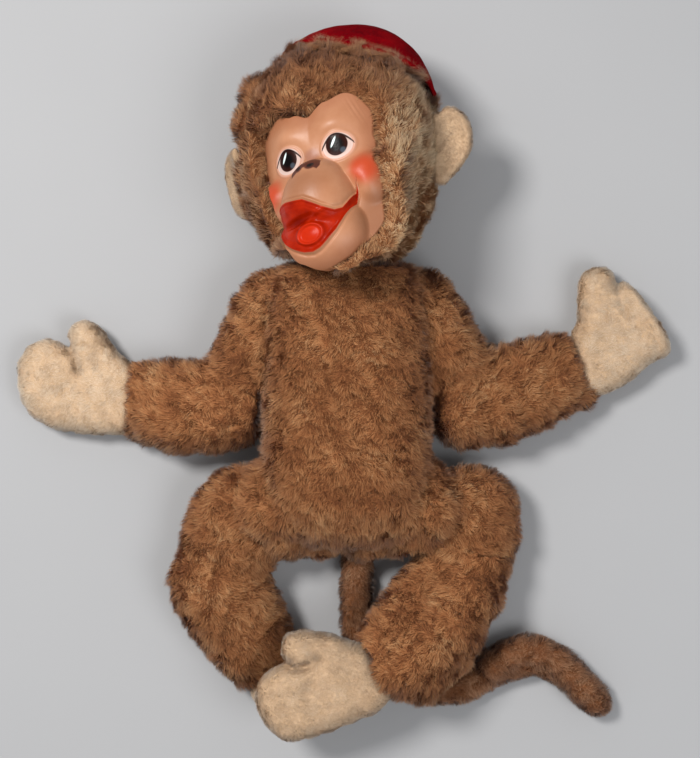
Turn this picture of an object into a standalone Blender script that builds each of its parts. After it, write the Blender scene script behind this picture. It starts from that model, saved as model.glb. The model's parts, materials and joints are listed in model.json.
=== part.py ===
"""A stuffed plush monkey with a moulded vinyl face, lying on its back.

X runs across the toy, Y from its feet to its head, and Z up from the table it lies on. Left and right
are the toy's own, so its right side is at negative X. Everything is placed from the middle of the neck
seam, and the whole toy is moved at the end so that its outline is centred on the origin.
"""

import math

import bpy
import numpy as np
from mathutils import Matrix, Vector

# Sewing and fit
SEAM_GAP = 0.0003
SWEEP_GAP = 0.0005
PLUSH = 0.0035
VINYL = 0.0022
FELT = 0.0022
PRESSED_FLAT = 0.0005
OVERRUN = 0.004
FAR = 0.6

# Body
TORSO_LENGTH = 0.170
TORSO_HALF_WIDTH = 0.0505
TORSO_HALF_DEPTH = 0.037
TORSO_SQUARENESS = 2.5
SIDE_SEAM_HEIGHT = 0.040
TORSO_PROFILE_SHARES = (
    (0.00, 0.78, 0.72),
    (0.05, 0.88, 0.81),
    (0.12, 0.97, 0.91),
    (0.24, 0.99, 0.97),
    (0.42, 1.00, 1.00),
    (0.60, 1.00, 1.00),
    (0.75, 0.99, 0.96),
    (0.86, 0.92, 0.84),
    (0.94, 0.74, 0.62),
    (0.985, 0.42, 0.34),
)

# Head, as it lies turned to its right and leaning back
HEAD_HALF_WIDTH = 0.0585
HEAD_HALF_HEIGHT = 0.0665
HEAD_HALF_DEPTH = 0.0525
HEAD_SQUARENESS = 2.3
HEAD_ABOVE_NECK = 0.0605
HEAD_ASIDE = -0.0035
JOWL_SHARE = 0.11
JOWL_SPREAD_SHARE = 0.5
JOWL_WAY_SHARES = (-0.12, -0.62, 0.78)
TURN_AXIS_HEIGHT = 0.046

# Moulded face: its own right, up and outward axes start between the eyes
FACE_TURN = 25.0
FACE_LEAN = 8.0
FACE_NOD = -4.0
FACE_ASIDE = -0.0150
FACE_UP = -0.0045
FACE_FORWARD = 0.0465
FACE_SAG_SHARE = 0.08
FACE_HALF_WIDTH = 0.0370
FACE_HEIGHT = 0.0965
FACE_MIDDLE_DOWN = 0.0200
FACE_BACK = -0.0190
FACE_MIDDLE_RISE = 0.0025
FACE_EDGE_FALL = 0.0170
FOREHEAD_HEIGHT = 0.0300
FOREHEAD_FALL = 0.0050
SWELLING_FALL = 0.0140
SWELLING_EASE = 0.0012
BROW_RISE = 0.0030
BROW_APART = 0.0140
BROW_UP = 0.0130
BROW_HALF_WIDTH = 0.0120
BROW_HALF_HEIGHT = 0.0080
FURROW_DEPTH = 0.0013
FURROW_HALF_WIDTH = 0.0030
FURROW_HALF_HEIGHT = 0.0100
CHEEK_RISE = 0.0085
CHEEK_BACK = 0.0040
CHEEK_APART = 0.0250
CHEEK_DOWN = 0.0165
CHEEK_HALF_WIDTH = 0.0098
CHEEK_HALF_HEIGHT = 0.0115
CHEEK_FALL = 0.0300
CHEEK_POWER = 0.8
MUZZLE_RISE = 0.0225
MUZZLE_BACK = 0.0010
MUZZLE_DOWN = 0.0285
MUZZLE_HALF_WIDTH = 0.0225
MUZZLE_HALF_HEIGHT = 0.0250
MUZZLE_SQUARENESS = 2.3
JAW_RISE = 0.0210
JAW_BACK = 0.0020
JAW_DOWN = 0.0470
JAW_HALF_WIDTH = 0.0260
JAW_HALF_HEIGHT = 0.0205
JAW_SQUARENESS = 2.2
NOSE_RISE = 0.0026
NOSE_DOWN = 0.0075
NOSE_HALF_WIDTH = 0.0070
NOSE_HALF_HEIGHT = 0.0034
EYE_APART = 0.0155
EYE_HALF_WIDTH = 0.0086
EYE_HALF_HEIGHT = 0.0072
EYE_BULGE = 0.0022
SOCKET_DEPTH = 0.0020
LID_RISE = 0.0010
LIP_RISE = 0.0009
LIP_EDGE = 0.0009
LIP_DISH = 0.0018
LIP_DISH_WIDTH = 0.0030
LIP_SPAN = 0.0290
MOUTH_ASIDE = -0.0010
MOUTH_DOWN = 0.0365
MOUTH_HALF_WIDTH = 0.0150
MOUTH_HALF_HEIGHT = 0.0046
MOUTH_DEPTH = 0.0060
MOUTH_BOW_RADIUS = 0.0833
TONGUE_RISE = 0.0012
TONGUE_EDGE_RISE = 0.0018
TONGUE_DOWN = 0.0465
TONGUE_HALF_WIDTH = 0.0080
TONGUE_HALF_HEIGHT = 0.0056
FACE_RINGS = 21
FACE_SPOKES = 52
FACE_INNER_RINGS = 6
# (turn in quarter circles from the chin, distance from the middle of the face as a share of its height)
FACE_OUTLINE_SHARES = (
    (0.00, 0.478),
    (0.22, 0.462),
    (0.45, 0.420),
    (0.75, 0.378),
    (1.10, 0.372),
    (1.36, 0.440),
    (1.56, 0.535),
    (1.72, 0.560),
    (1.86, 0.505),
    (2.00, 0.430),
)
# Lip borders: (aside, how far below the eyes), both as shares of LIP_SPAN
UPPER_LIP_SHARES = (
    (-1.00, 0.90),
    (-0.93, 0.97),
    (-0.79, 1.10),
    (-0.66, 1.14),
    (-0.52, 1.02),
    (-0.31, 0.95),
    (-0.03, 0.94),
    (0.14, 1.03),
    (0.33, 1.15),
    (0.57, 1.27),
    (0.71, 1.25),
    (0.86, 1.10),
    (1.00, 0.91),
)
LOWER_LIP_SHARES = (
    (0.00, 1.95),
    (0.15, 1.93),
    (0.24, 1.89),
    (0.34, 1.82),
    (0.46, 1.70),
    (0.54, 1.61),
    (0.66, 1.46),
    (0.84, 1.23),
    (1.00, 0.91),
)

# Cap
CAP_SPREAD = 46.0
CAP_RISE = 0.0112
CAP_TOWARDS_SHARES = (0.25, 0.93, -0.27)
CAP_BAND = 0.0040

# Ears
EAR_HALF_HEIGHT = 0.0225
EAR_REACH = 0.0205
EAR_THICKNESS = 0.0046
EAR_ROOT_HALF_LENGTH = 0.0120
EAR_OUT_SHARE = 0.5
EAR_LEAN = 13.0
EAR_LEFT_UP = 0.0065
EAR_LEFT_HEIGHT = 0.0635
EAR_RIGHT_UP = -0.0125
EAR_RIGHT_HEIGHT = 0.0340
EAR_TILT = {"left": -4.0, "right": -80.0}

# Arms
UPPER_ARM_LENGTH = 0.044
FOREARM_LENGTH = 0.071
SHOULDER_DOWN = 0.044
SHOULDER_HEIGHT = 0.0255
SHOULDER_OUT = 0.0035
SHOULDER_HALF_WIDTH = 0.0235
SHOULDER_HALF_DEPTH = 0.0225
ELBOW_HALF_WIDTH = 0.0265
ELBOW_HALF_DEPTH = 0.0205
WRIST_HALF_WIDTH = 0.0175
WRIST_HALF_DEPTH = 0.0125
CUFF_HALF_WIDTH = 0.0232
CUFF_HALF_DEPTH = 0.0155
CUFF_TAPER_POWER = 4.0
HAND_LENGTH = {"left": 0.0545, "right": 0.0620}
HAND_HALF_WIDTH = 0.0265
HAND_HALF_DEPTH = 0.0125
THUMB_LENGTH = 0.030
THUMB_RADIUS = 0.0105
THUMB_FROM_WRIST = 0.016

# Legs
THIGH_LENGTH = 0.043
SHIN_LENGTH = 0.076
HIP_DOWN = 0.150
HIP_LEFT_OUT = 0.0240
HIP_RIGHT_OUT = 0.0130
HIP_HALF_WIDTH = 0.032
HIP_HALF_DEPTH = 0.0225
KNEE_HALF_WIDTH = 0.030
KNEE_HALF_DEPTH = 0.0210
ANKLE_HALF_WIDTH = 0.0205
ANKLE_HALF_DEPTH = 0.0138
FOOT_LENGTH = 0.065
FOOT_UNDER_LENGTH = 0.042
FOOT_HALF_WIDTH = 0.0272
FOOT_UNDER_HALF_WIDTH = 0.0200
FOOT_HALF_DEPTH = 0.0138
BIG_TOE_LENGTH = 0.036
BIG_TOE_RADIUS = 0.0105
BIG_TOE_FROM_ANKLE = 0.013
CROSSED_HEIGHT = 0.0485

# Tail
TAIL_HALF_WIDTH = 0.0105
TAIL_HALF_DEPTH = 0.0088
TAIL_FROM_SHARE = 0.92
TAIL_ROOT_LENGTH = 0.063
TAIL_MIDDLE_LENGTH = 0.082
TAIL_TIP_LENGTH = 0.094
TAIL_ASIDE = 0.0065
TAIL_THINS_SHARE = 0.08

# Which way each length points in the plane of the table, in degrees from X
UPPER_ARM_WAY = {"left": -54.0, "right": -111.0}
FOREARM_WAY = {"left": 17.0, "right": 176.0}
HAND_WAY = {"left": 38.0, "right": 169.0}
THUMB_WAY = {"left": 106.0, "right": 98.0}
THIGH_WAY = {"left": -100.0, "right": -111.0}
SHIN_WAY = {"left": -139.5, "right": -60.0}
FOOT_WAY = {"left": -168.0, "right": -10.0}
BIG_TOE_WAY = {"left": 170.0, "right": 30.0}
TAIL_ROOT_WAY = -91.0
TAIL_MIDDLE_WAYS = (-56.0, -48.0, -16.0, 2.0)
TAIL_TIP_WAYS = (30.0, 12.0, -22.0, -44.0)
FINGER_CURL = {"left": 70.0, "right": 4.0}
FINGER_BLUNT_POWER = {"left": 0.4, "right": 1.0}

# How far each joint turns either way from where it lies, in degrees about Z
ELBOW_TURNS = {"left": (-38.0, 8.0), "right": (-8.0, 35.0)}
ELBOW_FACETS = {"left": (-38.0, -26.0, -14.0, -3.0, 8.0), "right": (-8.0, 3.0, 14.0, 25.0, 35.0)}
WRIST_TURNS = {"left": (-25.0, 10.0), "right": (-25.0, 25.0)}
HIP_TURNS = {"left": (0.0, 25.0), "right": (-25.0, 0.0)}
KNEE_TURNS = {"left": (0.0, 35.0), "right": (-35.0, 0.0)}
ANKLE_TURNS = {"left": (0.0, 25.0), "right": (-25.0, 0.0)}
TAIL_BEND_TURNS = (-10.0, 4.0)
TAIL_TIP_TURNS = (-25.0, 25.0)

# Mesh counts
LIMB_SIDES = 14
TORSO_SIDES = 24
HEAD_SIDES = 26
HEAD_RINGS = 13
CUP_LEVELS = 8
CUP_ARC = 10
CAP_TURNS = (26.0, 56.0)
# Where the fillings and cups meet the round ends
END_SHORT_SHARE = 0.45
END_FLARE_SHARE = 0.96
SWELL_SHARE = 0.022
SLEEVE_SHARES = (0.0, 0.3, 0.6, 0.82, 1.0)
RISE_FROM_SHARE = 0.12
TAPER_POWER = 2.4

# Looks: colour, roughness, metallic
PLUSH_LOOK = ((0.300, 0.155, 0.075, 1.0), 0.95, 0.0)
CREAM_LOOK = ((0.720, 0.550, 0.360, 1.0), 0.92, 0.0)
VINYL_LOOK = ((0.620, 0.320, 0.180, 1.0), 0.38, 0.0)
RED_LOOK = ((0.360, 0.004, 0.010, 1.0), 0.90, 0.0)
WADDING_LOOK = ((0.800, 0.760, 0.680, 1.0), 1.00, 0.0)

SIDE_SIGN = {"left": 1, "right": -1}

# Each joint with the joint that carries it, and the pieces that move with it
HANGS_FROM = {"neck_turn": (None, ("hood", "head_stuffing", "face_mask", "cap"))}
for hand in ("left", "right"):
    upper, fore = f"arm_upper_{hand}", f"forearm_{hand}"
    thigh, shin = f"thigh_{hand}", f"shin_{hand}"
    HANGS_FROM[f"ear_fold_{hand}"] = ("neck_turn", (f"ear_{hand}",))
    HANGS_FROM[f"shoulder_{hand}"] = (None, (upper, f"{upper}_stuffing"))
    HANGS_FROM[f"elbow_{hand}"] = (f"shoulder_{hand}", (fore, f"{fore}_stuffing"))
    HANGS_FROM[f"wrist_{hand}"] = (f"elbow_{hand}", (f"hand_{hand}",))
    HANGS_FROM[f"hip_{hand}"] = (None, (thigh, f"{thigh}_stuffing"))
    HANGS_FROM[f"knee_{hand}"] = (f"hip_{hand}", (shin, f"{shin}_stuffing"))
    HANGS_FROM[f"ankle_{hand}"] = (f"knee_{hand}", (f"foot_{hand}",))
HANGS_FROM["tail_bend"] = (None, ("tail_middle",))
HANGS_FROM["tail_tip_bend"] = ("tail_bend", ("tail_tip",))


def clear_scene():
    for held in list(bpy.data.objects):
        bpy.data.objects.remove(held, do_unlink=True)


def make_material(name, look):
    """Each piece has a material of its own, with its colour, roughness and metallic value."""
    made = bpy.data.materials.new(name)
    made.use_nodes = True
    shader = made.node_tree.nodes["Principled BSDF"]
    for socket, value in zip(("Base Color", "Roughness", "Metallic"), look):
        shader.inputs[socket].default_value = value
    return made


def towards(degrees, tilt=0.0):
    """Unit vector in the table plane, raised by tilt degrees."""
    turn, rise = math.radians(degrees), math.radians(tilt)
    return Vector((math.cos(turn) * math.cos(rise), math.sin(turn) * math.cos(rise), math.sin(rise)))


def superellipse(count, squareness):
    turns = np.linspace(0, 2 * math.pi, count, endpoint=False)
    wide, deep = np.cos(turns), np.sin(turns)
    power = 2.0 / squareness
    return np.sign(wide) * abs(wide) ** power, np.sign(deep) * abs(deep) ** power


def closed_mesh(rings, first_pole=None, last_pole=None):
    """Faces for rings of equal length, each end closed by a fan to its pole or to its own middle."""
    rings = [np.asarray(ring, float) for ring in rings]
    count = len(rings[0])
    first_pole = rings[0].mean(0) if first_pole is None else first_pole
    last_pole = rings[-1].mean(0) if last_pole is None else last_pole
    points = np.vstack([*rings, [np.asarray(first_pole)], [np.asarray(last_pole)]])
    start, end = len(points) - 2, len(points) - 1
    faces = []
    for row in range(len(rings) - 1):
        for k in range(count):
            a, b = row * count + k, row * count + (k + 1) % count
            faces.append((a, b, b + count, a + count))
    last_row = (len(rings) - 1) * count
    for k in range(count):
        faces.append((start, (k + 1) % count, k))
        faces.append((end, last_row + k, last_row + (k + 1) % count))
    return points, faces


def facing_out(points, faces):
    volume = 0.0
    for face in faces:
        for k in range(1, len(face) - 1):
            a, b, c = points[face[0]], points[face[k]], points[face[k + 1]]
            volume += np.dot(a, np.cross(b, c))
    return faces if volume > 0 else [tuple(reversed(face)) for face in faces]


def add_object(name, points, faces, look=None, sharp=50.0):
    mesh = bpy.data.meshes.new(name)
    mesh.from_pydata([tuple(p) for p in points], [], facing_out(points, faces))
    mesh.shade_smooth()
    mesh.set_sharp_from_angle(angle=math.radians(sharp))
    made = bpy.data.objects.new(name, mesh)
    bpy.context.scene.collection.objects.link(made)
    if look:
        mesh.materials.append(make_material(f"{name} surface", look))
    return made


def as_cutter(made):
    made.hide_render = True
    made.display_type = "WIRE"
    return made


def combine(made, other, operation):
    change = made.modifiers.new(f"{operation.lower()} {other.name}", "BOOLEAN")
    change.operation = operation
    change.solver = "EXACT"
    change.object = other
    return made


def cut(made, *cutters):
    for cutter in cutters:
        combine(made, cutter, "DIFFERENCE")
    return made


def box_cutter(name, low, high, frame=None):
    xs, ys, zs = zip(low, high)
    corners = np.array([(x, y, z) for z in zs for y in ys for x in xs])
    faces = [(0, 2, 3, 1), (4, 5, 7, 6), (0, 1, 5, 4), (2, 6, 7, 3), (0, 4, 6, 2), (1, 3, 7, 5)]
    if frame is not None:
        corners = np.array([frame @ Vector(corner) for corner in corners])
    return as_cutter(add_object(name, corners, faces))


def section(centre, way, half_width, half_depth, sides=LIMB_SIDES, squareness=2.0):
    """A ring square to a heading in the table plane: half_width sideways, half_depth up."""
    wide, deep = superellipse(sides, squareness)
    aside = Vector((-way.y, way.x, 0.0)).normalized()
    up = Vector((0, 0, half_depth))
    return np.array([centre + aside * (half_width * w) + up * d for w, d in zip(wide, deep)])


def round_start(centre, way, half_width, half_depth, inset=0.0):
    """Rings of the round end behind a joint. It is a shape turned about Z, so it turns freely in its cup."""
    rings = []
    for turn in CAP_TURNS:
        along, around = math.cos(math.radians(turn)), math.sin(math.radians(turn))
        middle = centre - way * ((half_width - inset) * along)
        rings.append(section(middle, way, (half_width - inset) * around, (half_depth - inset) * around))
    return rings, centre - way * (half_width - inset)


def sleeve(name, start, end, start_size, end_size, look, inset=0.0, reach=0.0, taper=TAPER_POWER):
    """One stuffed length from its own joint to short of the next one, swelling a little in its middle."""
    level = Vector((end.x - start.x, end.y - start.y, 0.0))
    length = level.length
    level.normalize()
    rings, pole = round_start(start, level, start_size[0], start_size[1], inset)
    for share in SLEEVE_SHARES:
        rise = min(1.0, max(0.0, (share - RISE_FROM_SHARE) / (1 - RISE_FROM_SHARE)))
        lift = (end.z - start.z) * rise * rise * (3 - 2 * rise)
        plump = 1 + SWELL_SHARE * math.sin(math.pi * share)
        thin = share**taper
        half_width = (start_size[0] + (end_size[0] - start_size[0]) * thin) * plump - inset
        half_depth = (start_size[1] + (end_size[1] - start_size[1]) * thin) * plump - inset
        along = length * share + (reach if share == 1.0 else 0.0)
        rings.append(section(start + level * along + Vector((0, 0, lift)), level, half_width, half_depth))
    return add_object(name, *closed_mesh(rings, pole), look)


def cup_cutters(name, centre, way, half_width, half_depth, turns, run):
    """The space that a round end and the sleeve behind it sweep as they turn about Z, with the seam gap.

    Seen from above it is a rounded fan. Each of its levels is the same fan, narrower towards top and bottom,
    and all of its flat facets stay outside the round shape that they follow.
    """
    bulge = math.pi / CUP_LEVELS
    low, high = (math.atan2(way.y, way.x) + math.radians(turn) for turn in turns)
    quarter = math.pi / 2
    back = np.linspace(high + quarter, low + 3 * quarter, CUP_ARC)
    roomy = 1.0 / math.cos(bulge / 2) / math.cos((back[1] - back[0]) / 2)
    rings = []
    for row in range(CUP_LEVELS):
        lift = bulge * (row + 0.5) - quarter
        wide = (half_width + SWEEP_GAP) * roomy * math.cos(lift)
        level = centre + Vector((0, 0, (half_depth + SWEEP_GAP) * roomy * math.sin(lift)))
        ring = [level + Vector((math.cos(t), math.sin(t), 0)) * wide for t in back]
        for aim, aside in ((low, low - quarter), (high, high + quarter)):
            far = level + Vector((math.cos(aim), math.sin(aim), 0)) * run
            ring.append(far + Vector((math.cos(aside) * wide, math.sin(aside) * wide, 0)))
        rings.append(ring)
    return [as_cutter(add_object(f"{name} cup", *closed_mesh(rings)))]


def stuffed_sleeve(name, start, end, start_size, end_size, next_width, cutters, floor, taper=TAPER_POWER):
    """A plush sleeve with its own filling. Both stop short of the next joint and are hollowed by its cup."""
    level = Vector((end.x - start.x, end.y - start.y, 0.0)).normalized()
    short = end - level * (next_width * END_SHORT_SHARE)
    run = (start, short, start_size, end_size)
    cover = sleeve(name, *run, PLUSH_LOOK, taper=taper)
    cavity = as_cutter(sleeve(f"{name} cavity", *run, None, PLUSH, OVERRUN, taper))
    filling = sleeve(f"{name}_stuffing", *run, WADDING_LOOK, PLUSH + SEAM_GAP, taper=taper)
    cut(filling, *cutters)
    cut(cover, *cutters, cavity, floor)
    return cover, filling


def resting(half_depth):
    return half_depth - PRESSED_FLAT


def mitten(name, root, way, root_size, size, length, curl, blunt, digit, floor):
    """A felt hand or foot: a round wrist end, a flat pad that may curl up at its end, and one digit."""
    aim, level = Vector(way), Vector((way.x, way.y, 0.0)).normalized()
    rings, pole = round_start(root, level, root_size[0], root_size[1])
    rings.append(section(root, level, *root_size))
    stations = ((0.22, 0.66), (0.42, 0.98), (0.62, 1.0), (0.80, 0.86), (0.93, 0.56))
    place, before = Vector(root), 0.0
    for along_share, wide_share in stations:
        wide_share = wide_share**blunt
        rise = math.radians(curl) * max(0.0, along_share - 0.35)
        step = Vector((level.x * math.cos(rise), level.y * math.cos(rise), math.sin(rise)))
        place = place + (aim if curl < 10.0 else step) * (length * (along_share - before))
        before = along_share
        narrow = root_size[1] + (size[1] - root_size[1]) * min(1.0, along_share * 2)
        end_share = 1.0 if along_share < 0.7 else wide_share ** 0.6
        aside = Vector((-level.y, level.x, 0.0))
        thick = aside.cross(step)
        wide, deep = superellipse(LIMB_SIDES, 2.3)
        aside = aside * (size[0] * wide_share)
        thick = thick * (narrow * end_share)
        rings.append(np.array([place + aside * w - thick * d for w, d in zip(wide, deep)]))
    tip = place + step * (length * (1.0 - before))
    made = add_object(name, *closed_mesh(rings, pole, tip), CREAM_LOOK)
    thumb = as_cutter(digit_mesh(f"{name} digit", *digit))
    combine(made, thumb, "UNION")
    cut(made, floor)
    return made


def digit_mesh(name, start, way, radius, length):
    rings, pole = round_start(start, way, radius, radius)
    for share, width_share in ((0.0, 1.0), (0.45, 1.06), (0.74, 0.9), (0.92, 0.56)):
        thick = radius * width_share
        rings.append(section(start + way * (length * share), way, thick, thick))
    return add_object(name, *closed_mesh(rings, pole, start + way * length))


def make_torso(cutters, floor):
    """Front and back panels sewn at the side seam, round one filling that shows at the open neck."""

    def barrel(name, inset, open_neck, look=None):
        rings = []
        for along, wide_share, deep_share in TORSO_PROFILE_SHARES:
            y = (inset - TORSO_LENGTH) * along
            half_width = TORSO_HALF_WIDTH * wide_share - inset
            half_depth = TORSO_HALF_DEPTH * deep_share - inset
            wide, deep = superellipse(TORSO_SIDES, TORSO_SQUARENESS)
            rings.append([(half_width * w, y, TORSO_MIDDLE + half_depth * d) for w, d in zip(wide, deep)])
        if open_neck:
            top = [(x, OVERRUN, z) for x, _, z in rings[0]]
            rings.insert(0, top)
        return add_object(name, *closed_mesh(rings, None, (0, inset - TORSO_LENGTH, TORSO_MIDDLE)), look)

    cavity = as_cutter(barrel("torso cavity", PLUSH, True))
    above = box_cutter("above side seam", (-FAR, -FAR, SIDE_SEAM_HEIGHT - SEAM_GAP / 2), (FAR, FAR, FAR))
    below = box_cutter("below side seam", (-FAR, -FAR, -FAR), (FAR, FAR, SIDE_SEAM_HEIGHT + SEAM_GAP / 2))
    front = cut(barrel("torso_front", 0.0, False, PLUSH_LOOK), cavity, below, *cutters)
    back = cut(barrel("torso_back", 0.0, False, PLUSH_LOOK), cavity, above, *cutters, floor)
    filling = cut(barrel("torso_stuffing", PLUSH + SEAM_GAP, False, WADDING_LOOK), *cutters)
    return front, back, filling


def head_surface(inset):
    """Rings of the plush head round an axis along Y: a full egg with jowls under the chin."""
    jowl = Vector(JOWL_WAY_SHARES).normalized()
    rings = []
    for row in range(1, HEAD_RINGS):
        polar = math.pi * row / HEAD_RINGS
        ring = []
        for k in range(HEAD_SIDES):
            turn = 2 * math.pi * k / HEAD_SIDES
            out = math.sin(polar)
            way = Vector((out * math.cos(turn), math.cos(polar), out * math.sin(turn)))
            ring.append(HEAD_MIDDLE + way * (head_radius(way, jowl) - inset))
        rings.append(ring)
    ways = (Vector((0, 1, 0)), Vector((0, -1, 0)))
    poles = [HEAD_MIDDLE + way * (head_radius(way, jowl) - inset) for way in ways]
    return rings, poles


def head_radius(way, jowl=None):
    power = HEAD_SQUARENESS
    reach = (
        abs(way.x / HEAD_HALF_WIDTH) ** power
        + abs(way.y / HEAD_HALF_HEIGHT) ** power
        + abs(way.z / HEAD_HALF_DEPTH) ** power
    ) ** (-1.0 / power)
    if jowl is None:
        return reach
    off = (way - jowl).length / JOWL_SPREAD_SHARE
    return reach * (1 + JOWL_SHARE * math.exp(-off * off))


def face_frame():
    """Turn, nod and lean of the moulded face, placed in front of the middle of the head."""
    turned = Matrix.Rotation(math.radians(FACE_LEAN), 4, "Z")
    turned = turned @ Matrix.Rotation(math.radians(FACE_NOD), 4, "X")
    turned = turned @ Matrix.Rotation(math.radians(-FACE_TURN), 4, "Y")
    place = HEAD_MIDDLE + Vector((FACE_ASIDE, FACE_UP, FACE_FORWARD))
    return Matrix.Translation(place) @ turned


def on_face(u, v, w):
    """A place on the face in its own axes; the soft moulding sags a little out of true."""
    return FACE_FRAME @ Vector((u, v + FACE_SAG_SHARE * u, w))


def bump(distance):
    return math.exp(-distance * distance)


def fused(first, second):
    """The higher of two heights, with a soft crease where they meet."""
    return (first + second + math.hypot(first - second, SWELLING_EASE)) / 2


def swelling(across, along, rise, back, power=0.5, squareness=2.0, fall=SWELLING_FALL):
    """A full rounded form. Outside its own edge it falls away, so that it leaves what is round it alone."""
    reach = (abs(across) ** squareness + abs(along) ** squareness) ** (1 / squareness)
    crown = max(0.0, 1 - reach * reach) ** power
    return rise * crown - fall * min(2.0, max(0.0, reach - 1)) - back


def from_table(shares, at):
    """A table's second column at a place in its first one, straight between the rows."""
    for (low, first), (high, last) in zip(shares, shares[1:]):
        if at <= high:
            return first + (last - first) * max(0.0, at - low) / (high - low)
    return shares[-1][1]


def mouth_relief(u, v):
    """Raised lip borders, the dish between them, the hollow of the mouth and the tongue in it."""
    side = abs(u)
    w = 0.0
    if side < LIP_SPAN:
        upper = -LIP_SPAN * from_table(UPPER_LIP_SHARES, u / LIP_SPAN)
        lower = -LIP_SPAN * from_table(LOWER_LIP_SHARES, side / LIP_SPAN)
        within = min(upper - v, v - lower)
        w += LIP_RISE * bump(within / LIP_EDGE - 0.22)
        w -= LIP_DISH * min(1.0, max(0.0, within / LIP_DISH_WIDTH - 0.27))
    down = v + MOUTH_DOWN - u * u / MOUTH_BOW_RADIUS / 2
    w -= MOUTH_DEPTH * bump(math.hypot((u - MOUTH_ASIDE) / MOUTH_HALF_WIDTH, down / MOUTH_HALF_HEIGHT) ** 2)
    tongue = math.hypot(u / TONGUE_HALF_WIDTH, (v + TONGUE_DOWN) / TONGUE_HALF_HEIGHT)
    return w + TONGUE_EDGE_RISE * bump((tongue - 0.95) / 0.16) + TONGUE_RISE * bump(tongue)


def face_height(u, v):
    """How far the moulding stands out from the plane between the eyes."""
    side = abs(u)
    w = FACE_MIDDLE_RISE - FACE_EDGE_FALL * (side / FACE_HALF_WIDTH) ** 3
    w -= FOREHEAD_FALL * max(0.0, v / FOREHEAD_HEIGHT) ** 2.2
    across, along = (side - BROW_APART) / BROW_HALF_WIDTH, (v - BROW_UP) / BROW_HALF_HEIGHT
    w += BROW_RISE * bump(math.hypot(across, along))
    w -= FURROW_DEPTH * bump(u / FURROW_HALF_WIDTH) * bump((v - BROW_UP) / FURROW_HALF_HEIGHT)
    across, along = (side - CHEEK_APART) / CHEEK_HALF_WIDTH, (v + CHEEK_DOWN) / CHEEK_HALF_HEIGHT
    w = fused(w, swelling(across, along, CHEEK_RISE, CHEEK_BACK, CHEEK_POWER, fall=CHEEK_FALL))
    across, along = u / MUZZLE_HALF_WIDTH, (v + MUZZLE_DOWN) / MUZZLE_HALF_HEIGHT
    w = fused(w, swelling(across, along, MUZZLE_RISE, MUZZLE_BACK, squareness=MUZZLE_SQUARENESS))
    across, along = u / JAW_HALF_WIDTH, (v + JAW_DOWN) / JAW_HALF_HEIGHT
    w = fused(w, swelling(across, along, JAW_RISE, JAW_BACK, squareness=JAW_SQUARENESS))
    w += NOSE_RISE * bump(math.hypot(u / NOSE_HALF_WIDTH, (v + NOSE_DOWN) / NOSE_HALF_HEIGHT))
    eye = math.hypot((side - EYE_APART) / EYE_HALF_WIDTH, v / EYE_HALF_HEIGHT)
    w -= SOCKET_DEPTH * bump((eye / 1.35) ** 2)
    w += LID_RISE * bump((eye - 1.06) / 0.12)
    w += EYE_BULGE * math.sqrt(max(0.0, 1 - eye * eye))
    return w + mouth_relief(u, v)


def height_behind(u, v):
    """The hollow back of the shell: under the lowest of the front near here, and never through its rim."""
    step = FACE_HEIGHT / FACE_INNER_RINGS / 2
    steps = [step * share for share in (-1, -0.5, 0, 0.5, 1)]
    lowest = min(face_height(u + across, v + along) for across in steps for along in steps)
    return max(FACE_BACK, lowest - VINYL)


def face_reach(turn):
    """Distance of the outline from the middle of the face, at a turn from the chin in quarter circles."""
    turn = abs((turn + 2.0) % 4.0 - 2.0)
    shares = FACE_OUTLINE_SHARES
    for (a, low), (b, high) in zip(shares, shares[1:]):
        if turn <= b:
            blend = (turn - a) / (b - a)
            blend = blend * blend * (3 - 2 * blend)
            return FACE_HEIGHT * (low + (high - low) * blend)
    return FACE_HEIGHT * shares[-1][1]


def face_ring(share, inset=0.0, depth=None, height=face_height):
    ring = []
    for k in range(FACE_SPOKES):
        turn = 4.0 * k / FACE_SPOKES
        reach = (face_reach(turn) - inset) * share
        u = reach * math.sin(turn * math.pi / 2)
        v = -FACE_MIDDLE_DOWN - reach * math.cos(turn * math.pi / 2)
        ring.append(on_face(u, v, height(u, v) if depth is None else depth))
    return ring


def make_face():
    """A thin shell: the moulded front, a skirt back into the head, and the hollow behind it."""
    rings = [face_ring((k + 1) / FACE_RINGS) for k in range(FACE_RINGS)]
    rings += [face_ring(1.0, depth=FACE_BACK), face_ring(1.0, VINYL, FACE_BACK)]
    inner = [(FACE_INNER_RINGS - k) / (FACE_INNER_RINGS + 1) for k in range(FACE_INNER_RINGS)]
    rings += [face_ring(share, VINYL, height=height_behind) for share in inner]
    front = on_face(0, -FACE_MIDDLE_DOWN, face_height(0, -FACE_MIDDLE_DOWN))
    back = on_face(0, -FACE_MIDDLE_DOWN, height_behind(0, -FACE_MIDDLE_DOWN))
    return add_object("face_mask", *closed_mesh(rings, front, back), VINYL_LOOK)


def make_head(floor, ear_cutters):
    rings, poles = head_surface(0.0)
    hood = add_object("hood", *closed_mesh(rings, *poles), PLUSH_LOOK)
    rings, poles = head_surface(PLUSH)
    cavity = as_cutter(add_object("hood cavity", *closed_mesh(rings, *poles)))
    rings, poles = head_surface(PLUSH + SEAM_GAP)
    filling = add_object("head_stuffing", *closed_mesh(rings, *poles), WADDING_LOOK)
    depths = (FACE_BACK - PLUSH, 2 * MUZZLE_RISE)
    opening = closed_mesh([face_ring(1.0, -SEAM_GAP, depth) for depth in depths])
    opening = as_cutter(add_object("face opening", *opening))
    behind = FACE_BACK - SEAM_GAP
    front = box_cutter("ahead of filling", (-FAR, -FAR, behind), (FAR, FAR, FAR), FACE_FRAME)
    neck = box_cutter("neck seam", (-FAR, -FAR, -FAR), (FAR, SEAM_GAP, FAR))
    cut(hood, cavity, opening, neck, *ear_cutters, floor)
    cut(filling, front, neck)
    return hood, filling


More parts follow.
